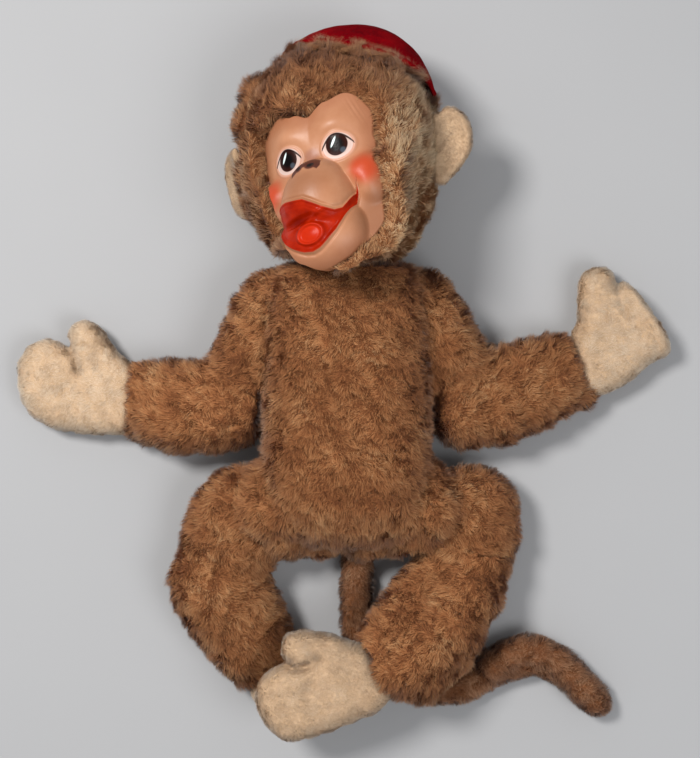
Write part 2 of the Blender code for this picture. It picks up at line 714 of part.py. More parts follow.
def make_cap(floor):
    """A felt cap that follows the crown, a little fuller at its top, with a turned band round its edge."""
    towards_cap = Vector(CAP_TOWARDS_SHARES).normalized()
    aside = towards_cap.orthogonal().normalized()
    other = towards_cap.cross(aside)

    def ring(turn, lift):
        made = []
        for k in range(HEAD_SIDES):
            around = 2 * math.pi * k / HEAD_SIDES
            out = aside * math.cos(around) + other * math.sin(around)
            way = towards_cap * math.cos(turn) + out * math.sin(turn)
            made.append(HEAD_MIDDLE + way * (head_radius(way) + lift))
        return made

    spread = math.radians(CAP_SPREAD)
    turns = [spread * share for share in (0.2, 0.4, 0.6, 0.8, 0.93)]
    crown = [CAP_RISE * math.cos(0.5 * math.pi * turn / spread) for turn in turns]
    outer = [ring(turn, 2 * SEAM_GAP + FELT + rise) for turn, rise in zip(turns, crown)]
    outer.append(ring(spread, 2 * SEAM_GAP + CAP_BAND))
    inner = [ring(turn, 2 * SEAM_GAP + rise) for turn, rise in zip(turns, crown)]
    inner.append(ring(spread, 2 * SEAM_GAP))
    top = HEAD_MIDDLE + towards_cap * (head_radius(towards_cap) + 2 * SEAM_GAP + FELT + CAP_RISE)
    under = HEAD_MIDDLE + towards_cap * (head_radius(towards_cap) + 2 * SEAM_GAP + CAP_RISE)
    cap = add_object("cap", *closed_mesh(outer + inner[::-1], top, under), RED_LOOK)
    return cut(cap, floor)


def ear_frame(side):
    """The ear's root lies on the side of the head; its own X points out, Y along the root."""
    sign = SIDE_SIGN[side]
    up = EAR_LEFT_UP if side == "left" else EAR_RIGHT_UP
    height = EAR_LEFT_HEIGHT if side == "left" else EAR_RIGHT_HEIGHT
    way = Vector((sign * HEAD_HALF_WIDTH, up, height - HEAD_MIDDLE.z)).normalized()
    root = HEAD_MIDDLE + way * (head_radius(way) + EAR_THICKNESS * EAR_OUT_SHARE)
    lean = Matrix.Rotation(math.radians(EAR_LEAN), 4, "Z")
    spin = Matrix.Rotation(math.radians(EAR_TILT[side]) + (math.pi if side == "right" else 0.0), 4, "Y")
    return Matrix.Translation(root) @ lean @ spin


def make_ear(side):
    """A dished felt ear on a straight rolled root."""
    frame = ear_frame(side)
    half = EAR_THICKNESS / 2
    outline = []
    for k in range(15):
        turn = math.pi * k / 14 - math.pi / 2
        outline.append((EAR_REACH * math.cos(turn) ** 0.8, EAR_HALF_HEIGHT * math.sin(turn)))
    rings = []
    for height_share, pull_share in ((-1, 0.82), (-0.5, 0.97), (0.5, 0.97), (1, 0.82)):
        ring = []
        for x, y in outline:
            dish = half * 1.2 * math.cos(math.pi * x / EAR_REACH) if x > half else half * 1.2
            z = height_share * half - half * 1.2 + dish
            ring.append(frame @ Vector((x * pull_share, y * pull_share, z)))
        rings.append(ring)
    middle = Vector((EAR_REACH * 0.4, 0, 0))
    up = Vector((0, 0, half))
    blade = closed_mesh(rings, frame @ (middle - up), frame @ (middle + up))
    ear = add_object(f"ear_{side}", *blade, CREAM_LOOK)
    root = as_cutter(root_roll(f"ear_{side} root", frame, half, EAR_ROOT_HALF_LENGTH))
    combine(ear, root, "UNION")
    roomy = (half + SEAM_GAP) / math.cos(math.pi / LIMB_SIDES)
    room = as_cutter(root_roll(f"ear_{side} root room", frame, roomy, EAR_HALF_HEIGHT + OVERRUN))
    return ear, room


def root_roll(name, frame, radius, half_length):
    rings = []
    for y in (-half_length, half_length):
        turns = np.linspace(0, 2 * math.pi, LIMB_SIDES, endpoint=False)
        rings.append([frame @ Vector((radius * math.cos(t), y, radius * math.sin(t))) for t in turns])
    return add_object(name, *closed_mesh(rings))


def facet_cutter(side, elbow, clear, turn):
    """Takes off what would meet the body's side once the elbow has turned that far."""
    facing = Matrix.Translation(elbow) @ Matrix.Rotation(math.radians(-turn), 4, "Z")
    reach = (clear, FAR) if side == "right" else (-FAR, -clear)
    return box_cutter(f"body side {side} {turn}", (reach[0], -FAR, -FAR), (reach[1], FAR, FAR), facing)


def make_arm(side, floor):
    sign = SIDE_SIGN[side]
    beside = TORSO_HALF_WIDTH + SEAM_GAP
    shoulder = Vector((sign * (TORSO_HALF_WIDTH + SHOULDER_OUT), -SHOULDER_DOWN, SHOULDER_HEIGHT))
    elbow = shoulder + towards(UPPER_ARM_WAY[side]) * UPPER_ARM_LENGTH
    elbow.z = resting(ELBOW_HALF_DEPTH)
    wrist = elbow + towards(FOREARM_WAY[side]) * FOREARM_LENGTH
    wrist.z = resting(HAND_HALF_DEPTH)
    elbow_size = (ELBOW_HALF_WIDTH, ELBOW_HALF_DEPTH)
    wrist_size = (WRIST_HALF_WIDTH, WRIST_HALF_DEPTH)
    forearm_way = (wrist - elbow).normalized()
    cups = cup_cutters(f"elbow {side}", elbow, forearm_way, *elbow_size, ELBOW_TURNS[side], FOREARM_LENGTH)
    if sign > 0:
        body_side = box_cutter(f"body side {side}", (-FAR, -FAR, -FAR), (beside, FAR, FAR))
    else:
        body_side = box_cutter(f"body side {side}", (-beside, -FAR, -FAR), (FAR, FAR, FAR))
    shoulder_size = (SHOULDER_HALF_WIDTH, SHOULDER_HALF_DEPTH)
    upper_end = (ELBOW_HALF_WIDTH * END_FLARE_SHARE, ELBOW_HALF_DEPTH * END_FLARE_SHARE)
    cups.append(body_side)
    run = (f"arm_upper_{side}", shoulder, elbow, shoulder_size, upper_end)
    stuffed_sleeve(*run, ELBOW_HALF_WIDTH, cups, floor)
    hand_way = towards(HAND_WAY[side])
    cups = cup_cutters(f"wrist {side}", wrist, hand_way, *wrist_size, WRIST_TURNS[side], HAND_LENGTH[side])
    clear = abs(elbow.x) - beside
    if clear < ELBOW_HALF_WIDTH:
        cups += [facet_cutter(side, elbow, clear, turn) for turn in ELBOW_FACETS[side]]
    cuff = Vector((wrist.x, wrist.y, resting(CUFF_HALF_DEPTH)))
    run = (f"forearm_{side}", elbow, cuff, elbow_size, (CUFF_HALF_WIDTH, CUFF_HALF_DEPTH))
    stuffed_sleeve(*run, WRIST_HALF_WIDTH, cups, floor, CUFF_TAPER_POWER)
    thumb_way = towards(THUMB_WAY[side])
    thumb_root = wrist + hand_way * THUMB_FROM_WRIST + thumb_way * (HAND_HALF_WIDTH - THUMB_RADIUS)
    thumb_root.z = resting(THUMB_RADIUS)
    thumb = (thumb_root, thumb_way, THUMB_RADIUS, THUMB_LENGTH)
    hand_size = (HAND_HALF_WIDTH, HAND_HALF_DEPTH)
    curl, blunt = FINGER_CURL[side], FINGER_BLUNT_POWER[side]
    length = HAND_LENGTH[side]
    mitten(f"hand_{side}", wrist, hand_way, wrist_size, hand_size, length, curl, blunt, thumb, floor)
    say(f"shoulder_{side}", shoulder, (-1, 0, 0))
    say(f"elbow_{side}", elbow, (0, 0, 1))
    say(f"wrist_{side}", wrist, (0, 0, 1))


def hip_place(side):
    out = HIP_LEFT_OUT if side == "left" else HIP_RIGHT_OUT
    return Vector((SIDE_SIGN[side] * (TORSO_HALF_WIDTH + out), -HIP_DOWN, resting(HIP_HALF_DEPTH)))


def make_leg(side, floor):
    on_top = side == "left"
    hip = hip_place(side)
    knee = hip + towards(THIGH_WAY[side]) * THIGH_LENGTH
    knee.z = resting(KNEE_HALF_DEPTH)
    ankle = knee + towards(SHIN_WAY[side]) * SHIN_LENGTH
    ankle.z = CROSSED_HEIGHT if on_top else resting(ANKLE_HALF_DEPTH)
    shin_way, foot_way = (ankle - knee).normalized(), towards(FOOT_WAY[side])
    knee_size = (KNEE_HALF_WIDTH, KNEE_HALF_DEPTH)
    ankle_size = (ANKLE_HALF_WIDTH, ANKLE_HALF_DEPTH)
    hip_size = (HIP_HALF_WIDTH, HIP_HALF_DEPTH)
    thigh_way = (knee - hip).normalized()
    hip_cups = cup_cutters(f"hip {side}", hip, thigh_way, *hip_size, HIP_TURNS[side], THIGH_LENGTH)
    cups = cup_cutters(f"knee {side}", knee, shin_way, *knee_size, KNEE_TURNS[side], SHIN_LENGTH)
    thigh_end = (KNEE_HALF_WIDTH * END_FLARE_SHARE, KNEE_HALF_DEPTH * END_FLARE_SHARE)
    stuffed_sleeve(f"thigh_{side}", hip, knee, hip_size, thigh_end, KNEE_HALF_WIDTH, cups, floor)
    cups = cup_cutters(f"ankle {side}", ankle, foot_way, *ankle_size, ANKLE_TURNS[side], FOOT_LENGTH)
    stuffed_sleeve(f"shin_{side}", knee, ankle, knee_size, ankle_size, ANKLE_HALF_WIDTH, cups, floor)
    length = FOOT_LENGTH if on_top else FOOT_UNDER_LENGTH
    size = (FOOT_HALF_WIDTH if on_top else FOOT_UNDER_HALF_WIDTH, FOOT_HALF_DEPTH)
    toe_way = towards(BIG_TOE_WAY[side])
    beside = towards(FOOT_WAY[side] + (-90.0 if on_top else 90.0))
    toe_root = ankle + foot_way * BIG_TOE_FROM_ANKLE + beside * (size[0] - BIG_TOE_RADIUS)
    toe_share = length / FOOT_LENGTH
    toe = (toe_root, toe_way, BIG_TOE_RADIUS, BIG_TOE_LENGTH * toe_share)
    mitten(f"foot_{side}", ankle, foot_way, ankle_size, size, length, 0.0, 1.0, toe, floor)
    say(f"hip_{side}", hip, (0, 0, 1))
    say(f"knee_{side}", knee, (0, 0, 1))
    say(f"ankle_{side}", ankle, (0, 0, 1))
    return hip_cups


def tail_path(start, ways, length):
    """Points along a bent length of tail, and the heading at each."""
    points, headings, place = [Vector(start)], [ways[0]], Vector(start)
    for way, after in zip(ways, [*ways[1:], ways[-1]]):
        place = place + towards(way) * (length / len(ways))
        points.append(Vector(place))
        headings.append((way + after) / 2)
    return points, headings


def tail_piece(name, points, headings, cutters, floor, last):
    rings, pole = round_start(points[0], towards(headings[0]), TAIL_HALF_WIDTH, TAIL_HALF_DEPTH)
    for k, (point, heading) in enumerate(zip(points, headings)):
        thin = 1.0 - (TAIL_THINS_SHARE * k / (len(points) - 1) if last else 0.0)
        rings.append(section(point, towards(heading), TAIL_HALF_WIDTH * thin, TAIL_HALF_DEPTH * thin))
    end = None
    if last:
        end_way = towards(headings[-1])
        for turn in reversed(CAP_TURNS):
            along, around = math.cos(math.radians(turn)), math.sin(math.radians(turn))
            place = points[-1] + end_way * (TAIL_HALF_WIDTH * thin * along)
            wide, deep = TAIL_HALF_WIDTH * thin * around, TAIL_HALF_DEPTH * thin * around
            rings.append(section(place, end_way, wide, deep))
        end = points[-1] + end_way * (TAIL_HALF_WIDTH * thin)
    made = add_object(name, *closed_mesh(rings, pole, end), PLUSH_LOOK)
    return cut(made, *cutters, floor)


def make_tail(floor):
    """The tail leaves the bottom of the body near the table, and is bent at two thin places."""
    size = (TAIL_HALF_WIDTH, TAIL_HALF_DEPTH)
    short = TAIL_HALF_WIDTH * END_SHORT_SHARE
    root = Vector((TAIL_ASIDE, -TORSO_LENGTH * TAIL_FROM_SHARE, resting(TAIL_HALF_DEPTH)))
    bend = root + towards(TAIL_ROOT_WAY) * TAIL_ROOT_LENGTH
    middle, middle_ways = tail_path(bend, TAIL_MIDDLE_WAYS, TAIL_MIDDLE_LENGTH)
    tip, tip_ways = tail_path(middle[-1], TAIL_TIP_WAYS, TAIL_TIP_LENGTH)
    run = 3 * TAIL_HALF_WIDTH
    cups = cup_cutters("tail bend", bend, towards(TAIL_MIDDLE_WAYS[0]), *size, TAIL_BEND_TURNS, run)
    tip_cups = cup_cutters("tail tip", tip[0], towards(TAIL_TIP_WAYS[0]), *size, TAIL_TIP_TURNS, run)
    root_end = bend - towards(TAIL_ROOT_WAY) * short
    middle[-1] = middle[-1] - towards(TAIL_MIDDLE_WAYS[-1]) * short
    tail_piece("tail_root", [root, root_end], [TAIL_ROOT_WAY] * 2, cups, floor, False)
    tail_piece("tail_middle", middle, middle_ways, tip_cups, floor, False)
    tail_piece("tail_tip", tip, tip_ways, [], floor, True)
    say("tail_bend", bend, (0, 0, 1))
    say("tail_tip_bend", tip[0], (0, 0, 1))
    roomy = section_cutter("tail seat", root, towards(TAIL_ROOT_WAY))
    return roomy


def section_cutter(name, root, way):
    """Room in the body for the round sewn end of the tail."""
    size = (TAIL_HALF_WIDTH + SEAM_GAP, TAIL_HALF_DEPTH + SEAM_GAP)
    roomy = 1.0 / math.cos(math.pi / LIMB_SIDES)
    rings, pole = round_start(root, way, size[0] * roomy, size[1] * roomy)
    rings.append(section(root, way, size[0] * roomy, size[1] * roomy))
    rings.append(section(root + way * TAIL_ROOT_LENGTH, way, size[0] * roomy, size[1] * roomy))
    return as_cutter(add_object(name, *closed_mesh(rings, pole)))


def say(name, place, axis):
    JOINTS.append((name, Vector(place), Vector(axis)))


def outline_shift():
    """The move that centres the toy's outline on X = Y = 0 and stands it on Z = 0."""
    bpy.context.view_layer.update()
    graph = bpy.context.evaluated_depsgraph_get()
    corners = []
    for made in bpy.data.objects:
        if not made.hide_render:
            shown = made.evaluated_get(graph)
            corners += [shown.matrix_world @ Vector(corner) for corner in shown.bound_box]
    low = [min(corner[k] for corner in corners) for k in range(3)]
    high = [max(corner[k] for corner in corners) for k in range(3)]
    print("outline", [round(1000 * (h - l), 1) for l, h in zip(low, high)], "mm")
    return Vector((-(low[0] + high[0]) / 2, -(low[1] + high[1]) / 2, -low[2]))


def hang_on_joints(shift):
    """Moves everything by the shift, then hangs each moving piece from an empty on its joint's axis."""
    for made in bpy.data.objects:
        made.data.transform(Matrix.Translation(shift))
    empties = {}
    for name, place, axis in JOINTS:
        empty = bpy.data.objects.new(f"joint {name}", None)
        bpy.context.scene.collection.objects.link(empty)
        empties[name] = (empty, place + shift)
        print("joint", name, [round(c, 5) for c in place + shift], [round(c, 4) for c in axis])
    for name, (before, pieces) in HANGS_FROM.items():
        empty, place = empties[name]
        empty.location = place
        if before:
            empty.parent = empties[before][0]
            empty.location = place - empties[before][1]
        for piece in pieces:
            made = bpy.data.objects[piece]
            made.data.transform(Matrix.Translation(-place))
            made.parent = empty


clear_scene()
JOINTS = []
TORSO_MIDDLE = resting(TORSO_HALF_DEPTH)
HEAD_MIDDLE = Vector((HEAD_ASIDE, HEAD_ABOVE_NECK, resting(HEAD_HALF_DEPTH)))
FACE_FRAME = face_frame()

FLOOR = box_cutter("table", (-FAR, -FAR, -FAR), (FAR, FAR, 0.0))
BODY_CUTS = make_leg("left", FLOOR) + make_leg("right", FLOOR)
BODY_CUTS.append(make_tail(FLOOR))
make_torso(BODY_CUTS, FLOOR)
make_arm("left", FLOOR)
make_arm("right", FLOOR)
EAR_ROOMS = []
for ear_side in ("left", "right"):
    EAR_ROOMS.append(make_ear(ear_side)[1])
    root_frame = ear_frame(ear_side)
    say(f"ear_fold_{ear_side}", root_frame.translation, root_frame.to_3x3() @ Vector((0, 1, 0)))
make_head(FLOOR, EAR_ROOMS)
make_face()
make_cap(FLOOR)
say("neck_turn", Vector((0, 0, TURN_AXIS_HEIGHT)), (0, 1, 0))
SHIFT = outline_shift()
print("shift", [round(s, 5) for s in SHIFT])
hang_on_joints(SHIFT)
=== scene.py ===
# %% [markdown]
# A stuffed monkey of brown plush with a moulded vinyl face, lying on its back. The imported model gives
# the shapes and the places of all pieces, and this lesson gives each of them its real surface: pile,
# brushed felt, painted vinyl. Lengths are in metres unless a name says millimetres.

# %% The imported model
import json
import math

import bmesh
import bpy
import numpy as np
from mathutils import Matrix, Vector, kdtree
from mathutils.bvhtree import BVHTree

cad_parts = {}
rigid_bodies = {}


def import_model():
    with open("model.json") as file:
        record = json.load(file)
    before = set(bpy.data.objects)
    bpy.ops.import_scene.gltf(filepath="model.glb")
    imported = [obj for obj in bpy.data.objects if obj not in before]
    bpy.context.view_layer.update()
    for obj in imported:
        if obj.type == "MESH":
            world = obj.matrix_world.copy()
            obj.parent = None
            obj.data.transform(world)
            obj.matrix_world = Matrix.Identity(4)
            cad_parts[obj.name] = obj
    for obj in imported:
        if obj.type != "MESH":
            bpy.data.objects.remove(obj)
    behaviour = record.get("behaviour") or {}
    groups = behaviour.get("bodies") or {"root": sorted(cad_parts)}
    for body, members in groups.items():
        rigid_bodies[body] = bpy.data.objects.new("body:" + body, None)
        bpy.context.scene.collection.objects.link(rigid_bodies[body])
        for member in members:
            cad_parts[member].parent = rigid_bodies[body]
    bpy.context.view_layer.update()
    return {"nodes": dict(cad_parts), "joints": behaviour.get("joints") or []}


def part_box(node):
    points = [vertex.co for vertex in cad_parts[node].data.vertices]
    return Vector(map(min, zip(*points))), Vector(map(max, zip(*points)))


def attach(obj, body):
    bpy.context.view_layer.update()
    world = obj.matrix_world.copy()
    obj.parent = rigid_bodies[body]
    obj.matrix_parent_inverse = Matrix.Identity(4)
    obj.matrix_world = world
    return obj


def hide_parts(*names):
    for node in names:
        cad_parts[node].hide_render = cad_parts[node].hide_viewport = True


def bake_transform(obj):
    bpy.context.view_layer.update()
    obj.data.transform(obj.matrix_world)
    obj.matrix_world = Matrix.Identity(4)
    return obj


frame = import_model()
joints = {joint["name"]: np.array(joint["pos_m"]) for joint in frame["joints"]}
NECK = joints["neck_turn"] * (1, 1, 0)
MM = 0.001
scene = bpy.context.scene

# %% [markdown]
# All drawing measures were taken on one sheet whose zero lies a little below the neck seam. One function
# puts a point of that sheet into the model's own frame, so that everything follows the neck seam.

# %% The drawing sheet
SHEET_NECK_MM = np.array((1.5, 70.0, 0.0))


def on_sheet(x, y, z):
    """A point of the drawing sheet, in millimetres, as a point of the model's frame."""
    return (np.stack(np.broadcast_arrays(x, y, z), -1) - SHEET_NECK_MM) * MM + NECK


def sheet_of(points):
    """The reverse: points of the model's frame in millimetres on the sheet."""
    return (np.asarray(points) - NECK) / MM + SHEET_NECK_MM


# %% [markdown]
# The photograph looks straight down on the toy. The camera hangs nearly a metre above the table.

# %% Camera
EYE_MM = (3.3, 1.8, 950.0)
SENSOR_MM = 36.0
TOY_BELOW_EYE_MM = 925.0
HALF_PICTURE_MM = 210.0  # half the picture's width at the height of the toy's middle
PICTURE_SHAPE = 379.0 / 350.0
camera = bpy.data.objects.new("camera", bpy.data.cameras.new("camera"))
scene.collection.objects.link(camera)
camera.location = on_sheet(*EYE_MM)
camera.data.sensor_width = SENSOR_MM
camera.data.lens = SENSOR_MM / 2 / (PICTURE_SHAPE * HALF_PICTURE_MM / TOY_BELOW_EYE_MM)
camera.data.clip_start, camera.data.clip_end = 0.01, 10.0
scene.camera = camera
print("camera", [round(x, 4) for x in camera.location], "lens", round(camera.data.lens, 2))

# %% [markdown]
# Small helpers that make meshes, attributes and node materials.

# %% Helpers for meshes


def add_mesh(name, points, faces, material=None):
    mesh = bpy.data.meshes.new(name)
    mesh.from_pydata([tuple(p) for p in np.asarray(points).tolist()], [], [tuple(f) for f in faces])
    mesh.polygons.foreach_set("use_smooth", [True] * len(mesh.polygons))
    obj = bpy.data.objects.new(name, mesh)
    scene.collection.objects.link(obj)
    if material:
        mesh.materials.append(material)
    return obj


def store(obj, name, values):
    """Keeps one value for each point of the mesh."""
    layer = obj.data.attributes.new(name, "FLOAT", "POINT")
    layer.data.foreach_set("value", np.asarray(values, np.float32).ravel())


def applied(obj):
    """The object's modifiers go into its mesh."""
    graph = bpy.context.evaluated_depsgraph_get()
    graph.update()
    mesh = bpy.data.meshes.new_from_object(obj.evaluated_get(graph))
    old = obj.data
    obj.modifiers.clear()
    obj.data = mesh
    bpy.data.meshes.remove(old)
    return obj


def rows_of(items, key, kind=np.float32):
    out = np.empty(len(items) * 3, kind)
    items.foreach_get(key, out)
    return out.reshape(-1, 3)


def points_of(mesh):
    return rows_of(mesh.vertices, "co").astype(float)


def normals_of(mesh):
    return rows_of(mesh.vertex_normals, "vector").astype(float)


def triangles_of(mesh):
    mesh.calc_loop_triangles()
    return rows_of(mesh.loop_triangles, "vertices", np.int32)


def eases(obj, rounds):
    ease = obj.modifiers.new("ease", "SMOOTH")
    ease.factor, ease.iterations = 0.5, rounds


# %% [markdown]
# Node materials. A colour is written as it is seen, from 0 to 255, and turned into linear light here.

# %% Helpers for materials


def seen(red, green, blue):
    def one(value):
        value = value / 255.0
        return value / 12.92 if value <= 0.04045 else ((value + 0.055) / 1.055) ** 2.4
    return (one(red), one(green), one(blue), 1.0)


class Paint:
    """A new material and short words for its nodes."""

    def __init__(self, name, **settings):
        self.material = bpy.data.materials.new(name)
        self.material.use_nodes = True
        self.tree = self.material.node_tree
        self.shader = self.tree.nodes["Principled BSDF"]
        for key, value in settings.items():
            self.shader.inputs[key.replace("_", " ")].default_value = value

    def node(self, kind, **values):
        made = self.tree.nodes.new(kind)
        for key, value in values.items():
            setattr(made, key, value)
        return made

    def join(self, value, socket):
        if isinstance(value, bpy.types.NodeSocket):
            self.tree.links.new(value, socket)
        else:
            socket.default_value = value

    def kept(self, name):
        return self.node("ShaderNodeAttribute", attribute_name=name).outputs["Fac"]

    def place(self):
        return self.node("ShaderNodeTexCoord").outputs["Object"]

    def noise(self, size_mm, detail=3.0, rough=0.55):
        made = self.node("ShaderNodeTexNoise")
        self.join(self.place(), made.inputs["Vector"])
        made.inputs["Scale"].default_value = 1.0 / (size_mm * MM)
        made.inputs["Detail"].default_value = detail
        made.inputs["Roughness"].default_value = rough
        return made.outputs["Fac"]

    def sums(self, how, a, b):
        made = self.node("ShaderNodeMath", operation=how)
        self.join(a, made.inputs[0])
        self.join(b, made.inputs[1])
        return made.outputs[0]

    def weighed(self, *parts):
        """The sum of values, each times its weight."""
        products = [self.sums("MULTIPLY", value, weight) for value, weight in parts]
        total = products[0]
        for product in products[1:]:
            total = self.sums("ADD", total, product)
        return total

    def span(self, value, low, high, to_low=0.0, to_high=1.0):
        made = self.node("ShaderNodeMapRange", interpolation_type="SMOOTHSTEP")
        self.join(value, made.inputs["Value"])
        for key, number in (("From Min", low), ("From Max", high), ("To Min", to_low), ("To Max", to_high)):
            self.join(number, made.inputs[key])
        return made.outputs["Result"]

    def mix(self, share, a, b):
        made = self.node("ShaderNodeMix", data_type="RGBA")
        self.join(share, made.inputs[0])
        self.join(a, made.inputs[6])
        self.join(b, made.inputs[7])
        return made.outputs[2]

    def ramp(self, share, stops):
        made = self.node("ShaderNodeValToRGB")
        self.join(share, made.inputs["Fac"])
        parts = made.color_ramp.elements
        while len(parts) < len(stops):
            parts.new(0.5)
        for part, (at, colour) in zip(parts, stops):
            part.position, part.color = at, colour
        return made.outputs["Color"]

    def bump(self, height, distance_mm):
        made = self.node("ShaderNodeBump")
        made.inputs["Strength"].default_value = 1.0
        made.inputs["Distance"].default_value = distance_mm * MM
        self.join(height, made.inputs["Height"])
        return made.outputs["Normal"]

    def use(self, **sockets):
        for key, value in sockets.items():
            self.join(value, self.shader.inputs[key.replace("_", " ")])
        return self.material


# %% [markdown]
# The floor is a plain pale sheet. One large soft window-like light stands at the upper left, and a weak
# wide one fills the other side.

# %% Floor and lights
floor_paint = Paint("floor", Roughness=0.85)
floor_tone = floor_paint.mix(floor_paint.noise(180.0), (0.37, 0.37, 0.378, 1), (0.40, 0.40, 0.408, 1))
floor = add_mesh("floor", [(-4, -4, 0), (4, -4, 0), (4, 4, 0), (-4, 4, 0)], [(0, 1, 2, 3)],
                 floor_paint.use(Base_Color=floor_tone))


def lamp(name, place, size, power, colour):
    made = bpy.data.objects.new(name, bpy.data.lights.new(name, "AREA"))
    scene.collection.objects.link(made)
    made.data.shape, made.data.size = "DISK", size
    made.data.energy, made.data.color = power, colour
    made.location = place
    made.rotation_euler = (-Vector(place)).to_track_quat("-Z", "Y").to_euler()


lamp("window", (-0.62, 0.42, 1.25), 0.38, 19.0, (1.0, 0.985, 0.96))
lamp("fill", (0.8, -0.5, 1.4), 0.9, 9.5, (0.97, 0.985, 1.0))
world = scene.world or bpy.data.worlds.new("studio")
scene.world = world
world.use_nodes = True
world.node_tree.nodes["Background"].inputs["Color"].default_value = (0.96, 0.98, 1.0, 1)
world.node_tree.nodes["Background"].inputs["Strength"].default_value = 0.42
scene.view_settings.view_transform = "Standard"

# %% [markdown]
# Soft covers. The cover of a stuffed toy is one skin with the filling pressed against it, so the solids of
# one part are melted into one form, smoothed, and taken in a little: the pile stands on this skin and
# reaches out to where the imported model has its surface.

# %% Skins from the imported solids


def balls(measures):
    """Balls of filling. Each is x, y, z on the sheet and a radius, all in millimetres."""
    points, faces = [], []
    for x, y, z, radius in measures:
        ball = bmesh.new()
        bmesh.ops.create_icosphere(ball, subdivisions=4, radius=radius * MM)
        faces += [tuple(v.index + len(points) for v in face.verts) for face in ball.faces]
        points += (np.array([v.co for v in ball.verts]) + on_sheet(x, y, z)).tolist()
        ball.free()
    return points, faces


def gathered(nodes, more):
    """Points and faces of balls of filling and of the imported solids, together."""
    points, faces = balls(more)
    for node in nodes:
        mesh = frame["nodes"][node].data
        faces += (triangles_of(mesh) + len(points)).tolist()
        points += points_of(mesh).tolist()
    return points, faces


def soft_form(name, nodes, voxel_mm, inset_mm, rounds=4, more=()):
    obj = add_mesh(name, *gathered(nodes, more))
    melt = obj.modifiers.new("melt", "REMESH")
    melt.mode, melt.voxel_size = "VOXEL", voxel_mm * MM
    eases(obj, rounds)
    take_in = obj.modifiers.new("take_in", "DISPLACE")
    take_in.strength, take_in.mid_level = -inset_mm * MM, 0.0
    eases(obj, 2)
    applied(obj)
    obj.data.polygons.foreach_set("use_smooth", [True] * len(obj.data.polygons))
    return obj


# %% [markdown]
# Hands, the upper foot and the left ear are two pieces of cloth sewn round an outline and filled: thin at
# the seam, full in the middle, with creases where a stitch holds the thumb off. Measures are on the sheet.

# %% Sewn and filled outlines


def rounded_loop(corners, steps=8):
    """A smooth closed line through the corners."""
    at = np.array(corners, float)
    before, after, second = np.roll(at, 1, 0), np.roll(at, -1, 0), np.roll(at, -2, 0)
    t = (np.arange(steps) / steps)[None, :, None]
    a, b, c, d = (part[:, None] for part in (before, at, after, second))
    return (0.5 * (2 * b + (c - a) * t + (2 * a - 5 * b + 4 * c - d) * t ** 2
                   + (3 * b - a - 3 * c + d) * t ** 3)).reshape(-1, 2)


def nearest_on(points, line):
    """Distance to a line of segments and the nearest place on it."""
    a, b = line[:-1][None], line[1:][None]
    along = np.clip(((points[:, None] - a) * (b - a)).sum(-1) / ((b - a) ** 2).sum(-1), 0, 1)
    place = a + along[..., None] * (b - a)
    far = np.linalg.norm(points[:, None] - place, axis=-1)
    best = far.argmin(1)
    rows = np.arange(len(points))
    return far[rows, best], place[rows, best]


def pillow(name, corners, low_mm, high_mm, edge_mm, creases=(), lifts=(), step_mm=1.3):
    """creases are (line, width, share of depth); lifts are (x, y, width, height) of curled-up places."""
    loop = rounded_loop(corners)
    xs, ys = (np.arange(loop[:, k].min() - step_mm, loop[:, k].max() + 2 * step_mm, step_mm) for k in (0, 1))
    grid = np.stack(np.meshgrid(xs, ys, indexing="ij"), -1).reshape(-1, 2)
    far, place = nearest_on(grid, np.vstack([loop, loop[:1]]))
    ax, ay = loop.T
    bx, by = np.roll(loop, -1, 0).T
    spans = (ay[None] > grid[:, 1:]) != (by[None] > grid[:, 1:])
    cross_x = ax + (grid[:, 1:] - ay) * (bx - ax) / np.where(np.abs(by - ay) < 1e-9, 1e-9, by - ay)
    inside = (spans & (grid[:, :1] < cross_x)).sum(1) % 2 == 1
    full = np.where(inside, np.sqrt(np.clip(1 - (1 - np.clip(far / edge_mm, 0, 1)) ** 2, 0, 1)), 0.0)
    for line, width, depth in creases:
        full = full * (1 - depth * hump(nearest_on(grid, np.array(line, float))[0] / width))
    middle = np.full(len(grid), (low_mm + high_mm) / 2)
    for x, y, width, height in lifts:
        middle += height * hump(np.hypot(grid[:, 0] - x, grid[:, 1] - y) / width)
    flat = np.where(inside[:, None], grid, place)
    half = (high_mm - low_mm) / 2 * full
    top = on_sheet(flat[:, 0], flat[:, 1], middle + half)
    base = on_sheet(flat[:, 0], flat[:, 1], np.maximum(middle - half, low_mm))
    index = np.arange(len(grid)).reshape(len(xs), len(ys))
    cells = np.stack([index[:-1, :-1], index[1:, :-1], index[1:, 1:], index[:-1, 1:]], -1).reshape(-1, 4)
    cells = cells[inside[cells].any(1)]
    lower = np.where(inside[cells], cells + len(grid), cells)[:, ::-1]
    used, faces = np.unique(np.vstack([cells, lower]), return_inverse=True)
    obj = add_mesh(name, np.vstack([top, base])[used], faces.reshape(-1, 4))
    eases(obj, 4)
    return applied(obj)


# %% [markdown]
# Ripples: a sum of a few crossing waves gives an even, repeatable unevenness at a chosen size.

# %% Ripples


def ripple(points, size_mm, seed, waves=8):
    chance = np.random.default_rng(seed)
    total = np.zeros(len(points))
    for _ in range(waves):
        way = chance.normal(size=3)
        way *= 2 * math.pi / (size_mm * MM) * chance.uniform(0.6, 1.5) / np.linalg.norm(way)
        total += np.sin(points @ way + chance.uniform(0, 2 * math.pi))
    return total / math.sqrt(waves / 2)


def ripple_way(points, size_mm, seed):
    return np.stack([ripple(points, size_mm, seed + k) for k in range(3)], -1)


def unit(vectors):
    return vectors / np.maximum(np.linalg.norm(vectors, axis=-1, keepdims=True), 1e-9)


